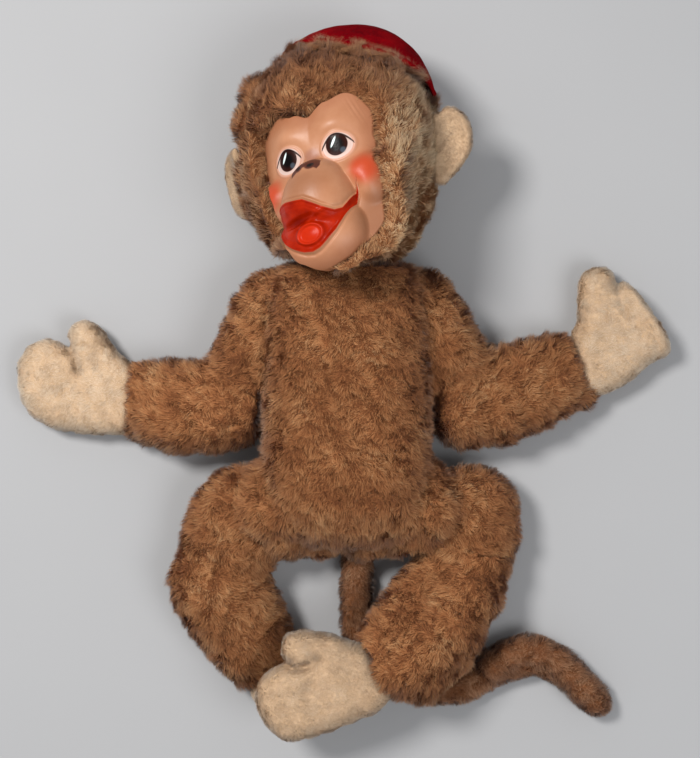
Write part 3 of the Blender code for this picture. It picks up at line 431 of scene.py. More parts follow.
def laid(way, normals):
    """The way without its part along the normals, so that it lies on the skin."""
    return unit(way - normals * (way * normals).sum(1, keepdims=True))


# %% [markdown]
# Pile. Each tuft is a bundle of narrow tapered blades that start upright, bend over along the nap and
# draw together towards their tips, as matted wool does. Where another part or the table covers the skin
# no pile is planted.

# %% Planting the pile


def free_faces(obj, walls):
    """The skin's faces with nothing close in front of them and not on the table."""
    points, faces = points_of(obj.data), triangles_of(obj.data)
    middle = points[faces].mean(1)
    corner = points[faces]
    normal = unit(np.cross(corner[:, 1] - corner[:, 0], corner[:, 2] - corner[:, 0]))
    free = middle[:, 2] > 1.0 * MM
    for wall, distance in walls:
        for index in np.flatnonzero(free):
            way = Vector(normal[index])
            if wall.ray_cast(Vector(middle[index]) + way * (0.4 * MM), way, distance * MM)[0] is not None:
                free[index] = False
    return free


def seeds_on(obj, per_mm2, chance, free):
    """Random roots, evenly spread over the free faces, with the skin's own smooth normals."""
    points, normals, faces = points_of(obj.data), normals_of(obj.data), triangles_of(obj.data)[free]
    corner = points[faces]
    area = np.linalg.norm(np.cross(corner[:, 1] - corner[:, 0], corner[:, 2] - corner[:, 0]), axis=1) / 2
    pick = chance.choice(len(faces), int(area.sum() / MM ** 2 * per_mm2), p=area / area.sum())
    a, b = chance.random((2, len(pick), 1))
    flip = (a + b) > 1
    a, b = np.where(flip, 1 - a, a), np.where(flip, 1 - b, b)

    def mixed(table):
        at = faces[pick]
        return table[at[:, 0]] * (1 - a - b) + table[at[:, 1]] * a + table[at[:, 2]] * b

    return mixed(points), unit(mixed(normals))


def pile(name, roots, normals, material, seed, length_mm, width_mm, nap, tone, lean, tuft_mm, pull, curl_mm,
         wander=1.0, floor_mm=0.4):
    """Blades of pile on the given roots. nap is the way the pile lies, wander how much it strays."""
    chance = np.random.default_rng(seed)
    count = len(roots)
    way = nap + wander * (0.55 * ripple_way(roots, 16.0, seed) + 0.45 * ripple_way(roots, 6.5, seed + 5))
    way = way + 0.35 * chance.normal(size=(count, 3))
    way = laid(way, normals)
    length = length_mm * MM * (1 + 0.18 * ripple(roots, 11.0, seed + 11)) * chance.uniform(0.7, 1.2, count)
    length = np.maximum(length, 0.3 * length_mm * MM)
    steps = np.array((0.0, 0.5, 1.0))
    low, high = np.radians(lean)
    stand = low + (high - low) * steps[None, :] ** 0.8 + 0.22 * ripple(roots, 8.0, seed + 17)[:, None]
    stand = np.clip(stand, 0.05, 1.45)
    middle = (stand[:, 1:] + stand[:, :-1]) / 2
    gap = np.diff(steps)[None, :, None] * length[:, None, None]
    run = gap * (np.cos(middle)[..., None] * normals[:, None] + np.sin(middle)[..., None] * way[:, None])
    line = np.concatenate([np.zeros((count, 1, 3)), np.cumsum(run, 1)], 1)
    across = unit(np.cross(normals, way))
    turn = chance.uniform(0, 2 * math.pi, count)[:, None] + steps[None, :] * chance.uniform(3, 7, (count, 1))
    swing = curl_mm * MM * steps[None, :, None]
    line += swing * (np.cos(turn)[..., None] * across[:, None] + np.sin(turn)[..., None] * normals[:, None])
    line += roots[:, None]
    # tufts
    heads = chance.choice(count, max(8, int(count / max(1.0, tuft_mm ** 2 * 0.9))), replace=False)
    tree = kdtree.KDTree(len(heads))
    for place, index in enumerate(heads):
        tree.insert(roots[index], place)
    tree.balance()
    owner = np.array([tree.find(root)[1] for root in roots])
    head = heads[owner]
    hold = pull * (steps[None, :, None] ** 1.3) * chance.uniform(0.5, 1.2, (count, 1, 1))
    line += np.clip(hold, 0, 0.85) * (line[head] - line)
    line[..., 2] = np.maximum(line[..., 2], floor_mm * MM)
    # blades
    tangent = unit(np.gradient(line, axis=1))
    side = unit(np.cross(tangent, normals[:, None]) + 0.45 * chance.normal(size=(count, 1, 3)))
    half = width_mm * MM / 2 * chance.uniform(0.7, 1.3, (count, 1, 1)) * (1 - 0.5 * steps[None, :2, None])
    left, right = line[:, :2] - side[:, :2] * half, line[:, :2] + side[:, :2] * half
    points = np.concatenate([left, right, line[:, 2:]], 1)
    base = (np.arange(count) * 5)[:, None]
    quad, tip = base + np.array((0, 2, 3, 1)), base + np.array((1, 3, 4))
    facing = np.cross(right[:, 0] - left[:, 0], line[:, 1] - line[:, 0])
    wrong = (facing * normals).sum(1) < 0
    quad[wrong], tip[wrong] = quad[wrong][:, ::-1], tip[wrong][:, ::-1]
    loops = np.concatenate([quad, tip], 1).ravel()
    sizes = np.tile((4, 3), count)
    mesh = bpy.data.meshes.new(name)
    mesh.vertices.add(count * 5)
    mesh.vertices.foreach_set("co", points.astype(np.float32).ravel())
    mesh.loops.add(len(loops))
    mesh.loops.foreach_set("vertex_index", loops.astype(np.int32))
    mesh.polygons.add(len(sizes))
    mesh.polygons.foreach_set("loop_start", np.concatenate([[0], np.cumsum(sizes)[:-1]]).astype(np.int32))
    mesh.polygons.foreach_set("use_smooth", [True] * len(sizes))
    mesh.update(calc_edges=True)
    obj = bpy.data.objects.new(name, mesh)
    scene.collection.objects.link(obj)
    mesh.materials.append(material)
    rise = np.tile(np.array((0.0, 0.5, 0.0, 0.5, 1.0)), count)
    shade = tone + 0.10 * chance.normal(size=count) + 0.09 * chance.normal(size=len(heads))[owner]
    store(obj, "rise", rise)
    store(obj, "tone", np.repeat(shade, 5))
    lit = unit(0.9 * normals[:, None] + 0.5 * tangent * (tangent * normals[:, None]).sum(-1, keepdims=True)
               + 0.16 * chance.normal(size=(count, 1, 3)))
    lit = np.concatenate([lit[:, :2], lit[:, :2], lit[:, 2:]], 1).reshape(-1, 3)
    mesh.normals_split_custom_set_from_vertices(lit.astype(np.float32))
    print(name, count, "blades,", len(loops) - 2 * len(sizes), "triangles")
    return obj


# %% [markdown]
# The brown plush is an acrylic pile. Its roots are dark, its tips bleached and dusty, and the colour is
# blotchy. The skin under it has the colour of the roots.

# %% Plush paint


def plush_paint(name, dark, middle, light, bleached):
    paint = Paint(name, Roughness=0.82, Specular_IOR_Level=0.18, Sheen_Weight=0.12, Sheen_Roughness=0.5)
    share = paint.weighed((paint.kept("rise"), 0.42), (paint.kept("tone"), 0.62),
                          (paint.noise(9.0, 4.0), 0.30))
    share = paint.sums("SUBTRACT", share, 0.16)
    colour = paint.ramp(share, ((0.08, dark), (0.42, middle), (0.70, light), (0.98, bleached)))
    return paint.use(Base_Color=colour)


def backing_paint(name, dark, light):
    paint = Paint(name, Roughness=0.9, Specular_IOR_Level=0.1, Sheen_Weight=0.2)
    weave = paint.noise(1.6, 4.0)
    colour = paint.ramp(paint.weighed((weave, 0.6), (paint.noise(10.0), 0.4)), ((0.3, dark), (0.7, light)))
    return paint.use(Base_Color=colour, Normal=paint.bump(weave, 0.8))


plush = plush_paint("plush_pile", seen(104, 58, 32), seen(162, 103, 62), seen(190, 134, 88),
                    seen(216, 176, 130))
plush_tail = plush_paint("tail_pile", seen(88, 52, 34), seen(142, 96, 66), seen(170, 126, 94),
                         seen(200, 164, 130))
plush_head = plush_paint("head_pile", seen(100, 58, 34), seen(156, 102, 64), seen(192, 142, 98),
                         seen(226, 196, 156))
backing = backing_paint("plush_backing", seen(88, 50, 28), seen(134, 84, 50))

# %% [markdown]
# The mask is one vinyl moulding. Its relief is written as heights over a sheet with u across the face and
# v up it, both in millimetres: brow, cheeks, muzzle, jaw, eye sockets, lips, tongue and the open mouth.

# %% Relief of the face
FACE_PLACE_MM = np.array((-17.0, 126.0, 98.5))
FACE_ROLL, FACE_NOD, FACE_TURN, FACE_SHEAR = 8.0, -4.0, -25.0, 0.08
FACE_HIGH_MM, FACE_DOWN_MM = 96.5, 20.0
# turn from the chin in right angles, and how far the mask reaches as a share of its height
OUTLINE = ((0.00, 0.478), (0.22, 0.464), (0.38, 0.446), (0.54, 0.444), (0.74, 0.388), (1.10, 0.372),
           (1.36, 0.440), (1.56, 0.535), (1.72, 0.556), (1.86, 0.500), (2.00, 0.440))
# turn from the chin in radians, and the share of that reach that the plush covers
COVERED = ((-3.2, 0), (-2.75, -0.03), (-2.3, -0.05), (-2.05, 0.0), (-1.8, 0.17), (-1.5, 0.25), (-0.74, 0.26),
           (-0.5, 0.19), (-0.25, 0.08), (0.0, 0.01), (0.3, 0), (1.6, 0), (2.0, 0.10), (2.35, 0.05), (2.6, 0),
           (3.2, 0))
# edges of the red lips, u and v
TOP_LIP = ((-26, -34), (-23.5, -30), (-21, -27.4), (-17.8, -26), (-12, -26), (-8.4, -26.6), (-0.1, -27.7),
           (4.5, -30.4), (9.5, -33.8), (15.1, -36.9), (18.3, -36.4), (20.2, -33.8), (21.7, -31.1),
           (23.2, -27.6), (25, -22))
LOW_LIP = ((0, -56.4), (4.4, -55.4), (7, -54.0), (10.5, -51.6), (14.8, -47.8), (18.0, -43.3), (21.5, -36.6),
           (23.0, -32.5), (24.2, -28.5), (25, -22))


def eased(table, at):
    """The table's second value at each place, joined by smooth steps."""
    xs, ys = np.array(table).T
    k = np.clip(np.searchsorted(xs, at) - 1, 0, len(xs) - 2)
    t = np.clip((at - xs[k]) / (xs[k + 1] - xs[k]), 0, 1)
    return ys[k] + (ys[k + 1] - ys[k]) * t * t * (3 - 2 * t)


def straight(table, at):
    return np.interp(at, *np.array(table).T)


def fused(a, b, ease):
    return 0.5 * (a + b + np.sqrt((a - b) ** 2 + ease ** 2))


def dome(u, v, at_u, at_v, wide, high, power, rise, square=2.0, fall=14.0):
    r = (np.abs((u - at_u) / wide) ** square + np.abs((v - at_v) / high) ** square) ** (1 / square)
    return rise * np.clip(1 - r ** 2, 0, 1) ** power - fall * np.clip(r - 1, 0, 2)


def hump(distance):
    return np.exp(-distance * distance)


def relief(u, v):
    """Height of the face over the sheet, and how far each point lies inside the painted regions."""
    side = np.abs(u)
    w = 2.5 - 17.0 * (side / 37.0) ** 3 - 5.0 * np.clip(v / 30.0, 0, 3) ** 2.2
    w = w + 3.0 * hump(np.hypot((side - 14) / 12, (v - 13) / 8)) - 0.4 * hump(u / 7.0) * hump((v - 13) / 12)
    w = fused(w, -9.0 + dome(side, v, 25.5, -17.0, 12.0, 11.5, 0.7, 11.2, 2.4, fall=60.0), 2.6)
    w = fused(w, -11.5 + dome(side, v, 29.5, -25.0, 9.5, 13.0, 0.8, 12.4, fall=60.0), 5.0)
    w = fused(w, -8.0 + dome(side, v, 19.5, -15.5, 8.5, 7.0, 0.8, 10.0, fall=60.0), 2.4)
    narrow = 22.5 - 0.16 * np.clip(v + 28.5, 0, 22)
    w = fused(w, -1.0 + dome(side, v, 0.0, -28.5, narrow, 25.0, 0.50, 22.5, 2.3), 1.2)
    w = fused(w, -2.0 + dome(side, v, 0.0, -47.0, 26.0, 20.5, 0.50, 21.0, 2.2), 1.2)
    w = w + 2.6 * hump(np.hypot(u / 7.0, (v + 7.5) / 3.4))
    w = w - 1.3 * hump(np.hypot((side - 3.6) / 1.6, (v + 8.6) / 1.2))
    eye = np.hypot((side - 15.5) / 8.6, v / 7.2)
    w = w - 2.0 * hump((eye / 1.35) ** 2) + 1.0 * hump((eye - 1.06) / 0.12)
    w = w + 2.2 * np.sqrt(np.clip(1 - eye ** 2, 0, 1))
    lip = np.minimum(straight(TOP_LIP, u) - v, v - straight(LOW_LIP, np.where(u < 0, 0.86 * side, side)))
    lip = np.minimum(lip, np.minimum(u + 23.6, 24.4 - u))
    on_lip = (u > -26) & (u < 25)
    w = w + 2.2 * hump(np.hypot((u + 21.5) / 4.0, (v + 32) / 6.0))
    w = w + 0.9 * hump((lip - 0.2) / 0.9) * on_lip - 1.8 * np.clip((lip - 0.8) / 3.0, 0, 1) * on_lip
    w = w - 0.9 * hump((lip + 1.4) / 1.0) * on_lip
    below = np.clip(straight(TOP_LIP, u) - v, 0, 20)
    w = w + 1.5 * hump((below - 4.2) / 2.6) * np.clip(below / 2, 0, 1) * np.clip((20 - side) / 6, 0, 1)
    mouth = np.hypot((u + 6.0) / 11.0, (v + 37.6 - 0.05 * u) / 2.4)
    w = w - 3.0 * hump(mouth ** 2)
    w = w + 1.1 * hump((v + 41.0 - 0.28 * (u + 10)) / 1.3) * hump(((u - 1) / 13.0) ** 2)
    tongue = np.hypot(u / 8.0, (v + 46.5) / 5.6)
    w = w + 1.8 * hump((tongue - 0.95) / 0.16) + 1.2 * hump(tongue)
    crease = np.sin((side + 0.44 * v - 34.0) * math.pi / 1.1)
    w = w + 0.16 * crease * hump((side + 0.44 * v - 34.0) / 2.4) * hump((v - 19) / 7.0)
    return w, {"eye": eye, "lip": np.where(on_lip, lip, -5.0), "mouth": mouth, "tongue": tongue}


def turned(axis, degrees):
    c, s = math.cos(math.radians(degrees)), math.sin(math.radians(degrees))
    return {"x": np.array(((1, 0, 0), (0, c, -s), (0, s, c))),
            "y": np.array(((c, 0, s), (0, 1, 0), (-s, 0, c))),
            "z": np.array(((c, -s, 0), (s, c, 0), (0, 0, 1)))}[axis]


FACE_WAY = turned("z", FACE_ROLL) @ turned("x", FACE_NOD) @ turned("y", FACE_TURN)


def face_point(u, v, w):
    flat = np.stack((u, v + FACE_SHEAR * u, w), -1) @ FACE_WAY.T + FACE_PLACE_MM
    return on_sheet(flat[..., 0], flat[..., 1], flat[..., 2])


def face_sheet(points):
    """Model points back onto the face's sheet: u, v and w in millimetres."""
    flat = (sheet_of(points) - FACE_PLACE_MM) @ FACE_WAY
    return flat[:, 0], flat[:, 1] - FACE_SHEAR * flat[:, 0], flat[:, 2]


def face_reach(u, v):
    """How far the mask reaches from its middle. The plush covers a little more of its right brow."""
    turn = np.arctan2(u, -(v + FACE_DOWN_MM))
    from_brow = (turn + 2.85 + math.pi) % (2 * math.pi) - math.pi
    covered = 0.085 * hump(from_brow / 0.34) + eased(COVERED, turn)
    return FACE_HIGH_MM * eased(OUTLINE, np.abs(turn) * 2 / math.pi) * (1 - covered)


def rim_height(u, v):
    """Height of the mask's edge in the direction of each point."""
    turn = np.arctan2(u, -(v + FACE_DOWN_MM))
    reach = face_reach(u, v)
    return relief(reach * np.sin(turn), -FACE_DOWN_MM - reach * np.cos(turn))[0]


# %% [markdown]
# On the toy the plush runs over shoulders, elbows, hips and knees without a gap. Neighbouring solids are
# melted together in pairs or groups, and the melted skin is parted again in the middle of each length,
# where it doesn't bend.

# %% Melted plush skins
PLUSH_NODES = {
    "torso": ("torso_front", "torso_back", "torso_stuffing"),
    "head": ("hood", "head_stuffing"),
    "tail_first": ("tail_root",),
    "tail_second": ("tail_middle",),
    "tail_third": ("tail_tip",),
}
LIMB_NODES = {"upper_arm": "arm_upper", "forearm": "forearm", "thigh": "thigh", "shin": "shin"}
for hand in ("left", "right"):
    for part, node in LIMB_NODES.items():
        PLUSH_NODES[f"{hand}_{part}"] = (f"{node}_{hand}", f"{node}_{hand}_stuffing")


def tree_of(meshes):
    points, faces = [], []
    for mesh in meshes:
        faces += (triangles_of(mesh) + len(points)).tolist()
        points += points_of(mesh).tolist()
    return BVHTree.FromPolygons(points, faces)


part_trees = {part: tree_of([frame["nodes"][node].data for node in nodes])
              for part, nodes in PLUSH_NODES.items()}


def nearest_part(points, parts):
    """Which of the parts' solids lies nearest to each point."""
    reach = np.array([[part_trees[part].find_nearest(Vector(p))[3] for p in points] for part in parts])
    return np.array(parts)[reach.argmin(0)]


def melted(name, parts, voxel_mm=2.4, inset_mm=2.8, more=()):
    nodes = [node for part in parts for node in PLUSH_NODES[part]]
    made = soft_form(name, nodes, voxel_mm, inset_mm, more=more)
    return made.data, nearest_part(points_of(made.data), parts)


def share_along(points, start, end):
    """0 at the start of a length, 1 at its end."""
    return (points - start) @ (end - start) / ((end - start) @ (end - start))


def taken(name, mesh, keep):
    """A new piece of the faces that have a kept point."""
    points, faces = points_of(mesh), triangles_of(mesh)
    faces = faces[keep[faces].any(1)]
    used, faces = np.unique(faces, return_inverse=True)
    return add_mesh(name, points[used], faces.reshape(-1, 3), backing)


# %% [markdown]
# The list of plush pieces: the melted group each is taken from, the points it keeps, the two bodies it
# bends between and where. The middle of an upper arm or thigh is where two pieces meet. Balls of filling
# round out the plain solids, and on the head the plush rises in a hem against the mask's edge.

# %% Plush pieces
skins, plush_pieces = {}, []


def plush_piece(name, group, keep_rule, body, nap, bend=None, replaces=(), paint=None):
    mesh, label = group
    skin = taken(f"{name}_cover", mesh, keep_rule(points_of(mesh), label))
    skins[name] = skin
    plush_pieces.append((name, skin, mesh, body, bend, nap, paint))
    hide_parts(*replaces)


def bend_at(joint, parent, child, before, after, back_mm, ahead_mm):
    """Bodies and the two points between which a piece bends. before and after lie on either side."""
    way = unit(np.asarray(after) - before)
    return parent, child, joints[joint] - way * back_mm * MM, joints[joint] + way * ahead_mm * MM


def head_form():
    """The plush head without its mask: seen from its middle each direction meets the skin once."""
    low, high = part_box("head_stuffing")
    middle = np.array((low + high) / 2)
    ball = bmesh.new()
    bmesh.ops.create_icosphere(ball, subdivisions=7, radius=1.0)
    mesh = bpy.data.meshes.new("head")
    ball.to_mesh(mesh)
    ball.free()
    ways = unit(points_of(mesh))
    tree = BVHTree.FromPolygons(*gathered(PLUSH_NODES["head"], PADS["head"]))
    outside = 0.15  # further from the middle than any part of the head
    reach = [outside - tree.ray_cast(Vector(middle + outside * way), Vector(-way))[3] for way in ways]
    points = middle + ways * (np.array(reach)[:, None] - 2.6 * MM)
    u, v, w = face_sheet(points)
    away = np.hypot(u, v + FACE_DOWN_MM) - face_reach(u, v)
    edge = rim_height(u, v)
    # under the mask and just past its edge the plush stays below it
    limit = np.where(away < 0, edge - 1.0 + 2.2 * np.clip(away, -4, 0), edge - 1.0 + 0.85 * away)
    w = np.where((away < 16) & (w > -40), np.minimum(w, limit), w)
    # the hem: the plush rises to the edge from as far down as the mask leaves open
    hem = edge - 1.4 - np.where(away > 0, 0.055 * away ** 2, -2.2 * away)
    deep = 72 + 26 * np.clip((-v - 36) / 10, 0, 1)
    lift = np.clip((w + deep) / 26, 0, 1) * ((away > -4) & (away < 22))
    w = w + lift * np.clip(hem - w, 0, 60)
    mesh.vertices.foreach_set("co", face_point(u, v, w).astype(np.float32).ravel())
    made = bpy.data.objects.new("head", mesh)
    scene.collection.objects.link(made)
    eases(made, 30)
    return applied(made).data


limbs = [f"{hand}_{part}" for hand in ("left", "right") for part in ("upper_arm", "thigh")]
# where the filling is fuller than in the plain solids: x, y, z on the sheet, and the radius
TRUNK_PADS = ((-43, 50, 30, 19), (48, 49, 30, 19), (-52, 40, 30, 18), (57, 38, 32, 18),
              (-38, -84, 22, 18), (-30, -91, 22, 16), (-14, -93, 22, 15), (12, -94, 22, 15),
              (31, -91, 22, 16), (44, -83, 22, 18), (-34, -72, 26, 18), (38, -72, 26, 18),
              (80, -86, 22, 21), (52, -77, 33, 21), (47, -64, 30, 20), (40, -88, 28, 19),
              (34, -76, 38, 20), (-47, -77, 33, 21), (-43, -63, 30, 20), (-35, -88, 28, 19),
              (-30, -76, 38, 20))
PADS = {
    "left_elbow": ((73, -19, 23, 22), (93, -18, 22, 21), (112, -11, 20, 20), (126, -4, 18, 19),
                   (144, -6, 13, 11), (136, -4, 15, 13)),
    "right_elbow": ((-112, -20, 20, 19), (-98, -23, 22, 21), (-80, -24, 22, 20), (-67, -23, 20, 18),
                    (-118, -27, 13, 12)),
    "left_knee": ((80, -86, 22, 21), (79, -107, 23, 22), (71, -126, 27, 24), (61, -144, 33, 24),
                  (49, -156, 39, 23), (36, -166, 44, 21), (27, -168, 46, 17), (44, -170, 38, 20),
                  (56, -160, 32, 21)),
    "right_knee": ((-60, -166, 18, 15), (-52, -172, 16, 13)),
    "tail": ((90, -173, 11, 11), (99, -167, 11, 11), (109, -164, 11, 11), (119, -165, 11, 11),
             (129, -170, 11, 11), (138, -178, 11, 11), (146, -187, 11, 11), (152, -194, 10, 10)),
    "head": ((23, 80, 86, 16), (12, 73, 85, 15), (26, 88, 78, 22), (14, 85, 80, 20), (33, 100, 70, 19),
             (32, 85, 48, 16), (-55, 150, 56, 12), (-50, 168, 52, 12), (-50, 130, 58, 12),
             (-53, 120, 42, 13), (-50, 104, 40, 12)),
}
trunk = melted("trunk", ["torso", *limbs], more=TRUNK_PADS)
plush_piece("torso", trunk, lambda p, label: label == "torso", "torso", (0, -1, 0),
            replaces=PLUSH_NODES["torso"])
for hand in ("left", "right"):
    out = 1 if hand == "left" else -1
    for upper, lower, root, middle, end, spread in (
            ("upper_arm", "forearm", "shoulder", "elbow", "wrist", (6, 18, 8, 8)),
            ("thigh", "shin", "hip", "knee", "ankle", (10, 14, 9, 9))):
        first, second, third = (joints[f"{key}_{hand}"] for key in (root, middle, end))
        a_part, b_part = f"{hand}_{upper}", f"{hand}_{lower}"

        def upper_rule(p, label, a_part=a_part, first=first, second=second):
            return (label == a_part) & (share_along(p, first, second) < 0.52)

        def lower_rule(p, label, a_part=a_part, first=first, second=second):
            return (label != a_part) | (share_along(p, first, second) >= 0.5)

        upper_nap = (0.7 * out, -0.7, 0)
        lower_nap = (out, 0.2, 0) if upper == "upper_arm" else (-0.8 * out, -0.6, 0)
        bend = bend_at(f"{root}_{hand}", "torso", a_part, first - (second - first), second, *spread[:2])
        plush_piece(a_part, trunk, upper_rule, a_part, upper_nap, bend, PLUSH_NODES[a_part])
        group = melted(f"{hand}_{middle}", [a_part, b_part], inset_mm=2.0, more=PADS[f"{hand}_{middle}"])
        bend = bend_at(f"{middle}_{hand}", a_part, b_part, (first + second) / 2, (second + third) / 2,
                       *spread[2:])
        plush_piece(b_part, group, lower_rule, b_part, lower_nap, bend, PLUSH_NODES[b_part])
head_mesh = head_form()
head = (head_mesh, np.full(len(head_mesh.vertices), "head"))
plush_piece("head", head, lambda p, label: label == "head", "head", (0.3, 0.6, 0),
            replaces=PLUSH_NODES["head"], paint=plush_head)
tail = melted("tail", ["tail_first", "tail_second", "tail_third"], 1.6, 1.6, more=PADS["tail"])
bend_place, tip_place = joints["tail_bend"], joints["tail_tip_bend"]
plush_piece("tail_first", tail, lambda p, label: (
    label == "tail_first") & (p[:, 1] > bend_place[1] + 12 * MM), "torso", (0, -1, 0),
    replaces=PLUSH_NODES["tail_first"], paint=plush_tail)
bend = bend_at("tail_bend", "torso", "tail_second", bend_place + (0, 0.02, 0), tip_place, 6, 6)
plush_piece("tail_second", tail, lambda p, label: (
    (label == "tail_first") & (p[:, 1] < bend_place[1] + 13 * MM)) | (
    (label == "tail_second") & (p[:, 0] < tip_place[0] - 14 * MM)), "tail_second", (0.7, -0.7, 0), bend,
    PLUSH_NODES["tail_second"], plush_tail)
bend = bend_at("tail_tip_bend", "tail_second", "tail_third", tip_place - (0.02, 0, 0),
               tip_place + (0.02, 0.005, 0), 6, 6)
plush_piece("tail_third", tail, lambda p, label: (label == "tail_third") | (
    (label == "tail_second") & (p[:, 0] > tip_place[0] - 15 * MM)), "tail_third", (1, -0.4, 0), bend,
    PLUSH_NODES["tail_third"], plush_tail)
GROUPS = ("trunk", "head", "tail", *PADS)
for group_object in [o for o in scene.objects if o.name in GROUPS]:
    scene.collection.objects.unlink(group_object)
    bpy.data.objects.remove(group_object)
print(len(skins), "plush skins,", sum(len(s.data.polygons) for s in skins.values()), "faces")

# %% [markdown]
# Hands, feet and ears are of short brushed cream pile. They are softer and rounder than the solids, with
# a sewn groove round the thumb, and a nap so short that it only blurs the outline.

# %% Cream parts
SEWN = {
    "left_foot": dict(low_mm=35, high_mm=60, edge_mm=13, corners=(
        (-36, -160), (-36.5, -156), (-35, -150.5), (-31, -147), (-23.5, -145.5), (-14, -146.5), (-5, -148.5),
        (4, -152), (12.5, -155), (21, -167.5), (26.5, -178), (27, -184.5), (25, -187), (19.5, -192),
        (7, -197.5), (-5, -202.5), (-19, -207), (-29.5, -209.5), (-37, -208.5), (-44.5, -202), (-50, -192.5),
        (-51.5, -183.5), (-49.5, -175), (-43, -169), (-37, -165.5), (-34, -163.5)), creases=(
        (((-35.5, -164), (-28.5, -166.5), (-22.5, -165)), 2.4, 0.55),
        (((-22.5, -165), (-15, -160.5)), 3.0, 0.25),
        (((-18.5, -157), (-16.5, -167.5), (-21.5, -180)), 4.0, 0.14))),
    "right_hand": dict(low_mm=0.5, high_mm=24, edge_mm=13, corners=(
        (-117.5, 6), (-127.5, 9), (-137.5, 17.5), (-143, 24.5), (-147, 30.5), (-153, 36), (-160, 37),
        (-165, 34), (-167.5, 28.5), (-166.5, 23), (-168.5, 21), (-176, 25), (-186, 24.5), (-193, 19.5),
        (-198, 10.5), (-198, -1), (-195, -13), (-188, -22), (-176, -28), (-160, -31), (-144, -32),
        (-131.5, -31), (-117.5, -28)), creases=(
        (((-166.5, 21.5), (-162.5, 14.5), (-160.5, 6)), 2.6, 0.45),
        (((-145.5, 19.5), (-151, 12), (-158, 9)), 4, 0.15))),
    "left_hand": dict(low_mm=0.5, high_mm=25, edge_mm=12, corners=(
        (137.5, 26.5), (141.5, 36), (141.5, 44.5), (142, 53.5), (143.5, 62.5), (149, 68), (156, 69.5),
        (162, 66.5), (164, 62), (165, 59.5), (166.5, 59.5), (169, 61), (174, 57.5), (182, 46.5), (190, 34.5),
        (196, 24.5), (197, 19.5), (194, 15.5), (186, 12), (178, 5), (170, -1), (161, -6), (151.5, -8),
        (140.5, -2.5)), creases=(
        (((165, 57), (165, 49.5), (168, 42), (173, 37.5)), 2.0, 0.2),
        (((169.5, 52), (176, 42), (184, 30), (188, 22)), 2.4, 0.2)),
        lifts=((192, 30, 10, 6), (186, 40, 10, 6), (177, 52, 9, 5))),
    "left_ear": dict(low_mm=57, high_mm=66, edge_mm=4.5, corners=(
        (49.5, 153.5), (54, 155), (59, 158.5), (64.5, 157.5), (69.5, 153.5), (73, 147), (73.5, 139.5),
        (72, 131.5), (67.5, 124.5), (62, 118), (57, 114), (51.5, 115.5), (50, 128), (49, 139.5)), creases=(
        (((52, 134), (59, 138.5), (64, 144)), 2.2, 0.35),
        (((58.5, 150), (64.5, 146.5), (65.5, 138.5), (61.5, 129), (57.5, 123.5)), 4.5, 0.45)), step_mm=1.0),
}
cream = Paint("cream_pile", Roughness=0.85, Specular_IOR_Level=0.15, Sheen_Weight=0.3, Sheen_Roughness=0.5)
cream_share = cream.weighed((cream.kept("rise"), 0.35), (cream.kept("tone"), 0.55),
                            (cream.noise(12.0, 4.0), 0.30))
cream_skin = cream.ramp(cream_share, ((0.12, seen(168, 134, 104)), (0.45, seen(206, 176, 144)),
                                      (0.75, seen(224, 200, 172)), (1.0, seen(238, 220, 196))))
cream_pile = cream.use(Base_Color=cream_skin)
cream_backing = backing_paint("cream_backing", seen(190, 158, 124), seen(212, 182, 150))
felt_bodies = {"left_hand": "hand_left", "right_hand": "hand_right", "left_foot": "foot_left",
               "right_foot": "foot_right", "left_ear": "ear_left", "right_ear": "ear_right"}
for body, node in felt_bodies.items():
    thin = "ear" in body
    if body in SEWN:
        skin = pillow(f"{body}_cover", **SEWN[body])
    else:
        skin = soft_form(f"{body}_cover", (node,), *((1.0, 0.3, 2) if thin else (1.8, 3.0, 6)))
    skin.data.materials.append(cream_backing)
    skins[body] = skin
    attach(skin, body)
    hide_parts(node)

# %% [markdown]
# The moulding is a fine web of rings and spokes. Two more rings turn its edge down under the plush. Each
# point keeps how far it lies inside the lips, eyes, nose and blush, and the paint reads these values.

# %% Mask mesh
RINGS, SPOKES = 130, 360
turns = (np.arange(SPOKES) + 0.5) / SPOKES * 2 * math.pi
ring_share = np.linspace(0, 1, RINGS + 1)[1:] ** 0.92
reach = face_reach(np.sin(turns), -np.cos(turns) - FACE_DOWN_MM)
u = ring_share[:, None] * reach * np.sin(turns)
v = -ring_share[:, None] * reach * np.cos(turns) - FACE_DOWN_MM
w = relief(u, v)[0]
u = np.vstack([u, u[-1:] * 1.01, u[-1:]])
v = np.vstack([v, v[-1:], v[-1:]])
w = np.vstack([w, w[-1:] - 1.6, w[-1:] - 7.0])
middle_w = relief(np.zeros(1), np.full(1, -FACE_DOWN_MM))[0]
grid = face_point(u, v, w).reshape(-1, 3)
mask_points = np.vstack([grid, face_point(np.zeros(1), np.full(1, -FACE_DOWN_MM), middle_w)])
rows = len(u)
index = np.arange(rows * SPOKES).reshape(rows, SPOKES)
onward = np.roll(index, -1, 1)
mask_faces = np.stack([index[:-1], index[1:], onward[1:], onward[:-1]], -1).reshape(-1, 4).tolist()
hub = rows * SPOKES
mask_faces += [(hub, a, b) for a, b in zip(index[0], onward[0])]
mask = add_mesh("face_mask_vinyl", mask_points, mask_faces)
flat_u, flat_v = np.append(u.ravel(), 0.0), np.append(v.ravel(), -FACE_DOWN_MM)
inner = relief(flat_u, flat_v)[1]
facing = Vector(FACE_WAY @ np.array((0, 0, 1.0)))
if sum((p.normal.dot(facing) for p in mask.data.polygons)) < 0:
    mask.data.flip_normals()
# painted shade: this share darkens the skin towards the mask's edge and on the edge turned down under the
# plush
rim = np.concatenate([np.repeat(np.append(ring_share, (1.0, 1.0)), SPOKES), (0.0,)])
side = np.abs(flat_u)
slope = (side - 29.0) * 0.83 + (flat_v + 16.5) * 0.55
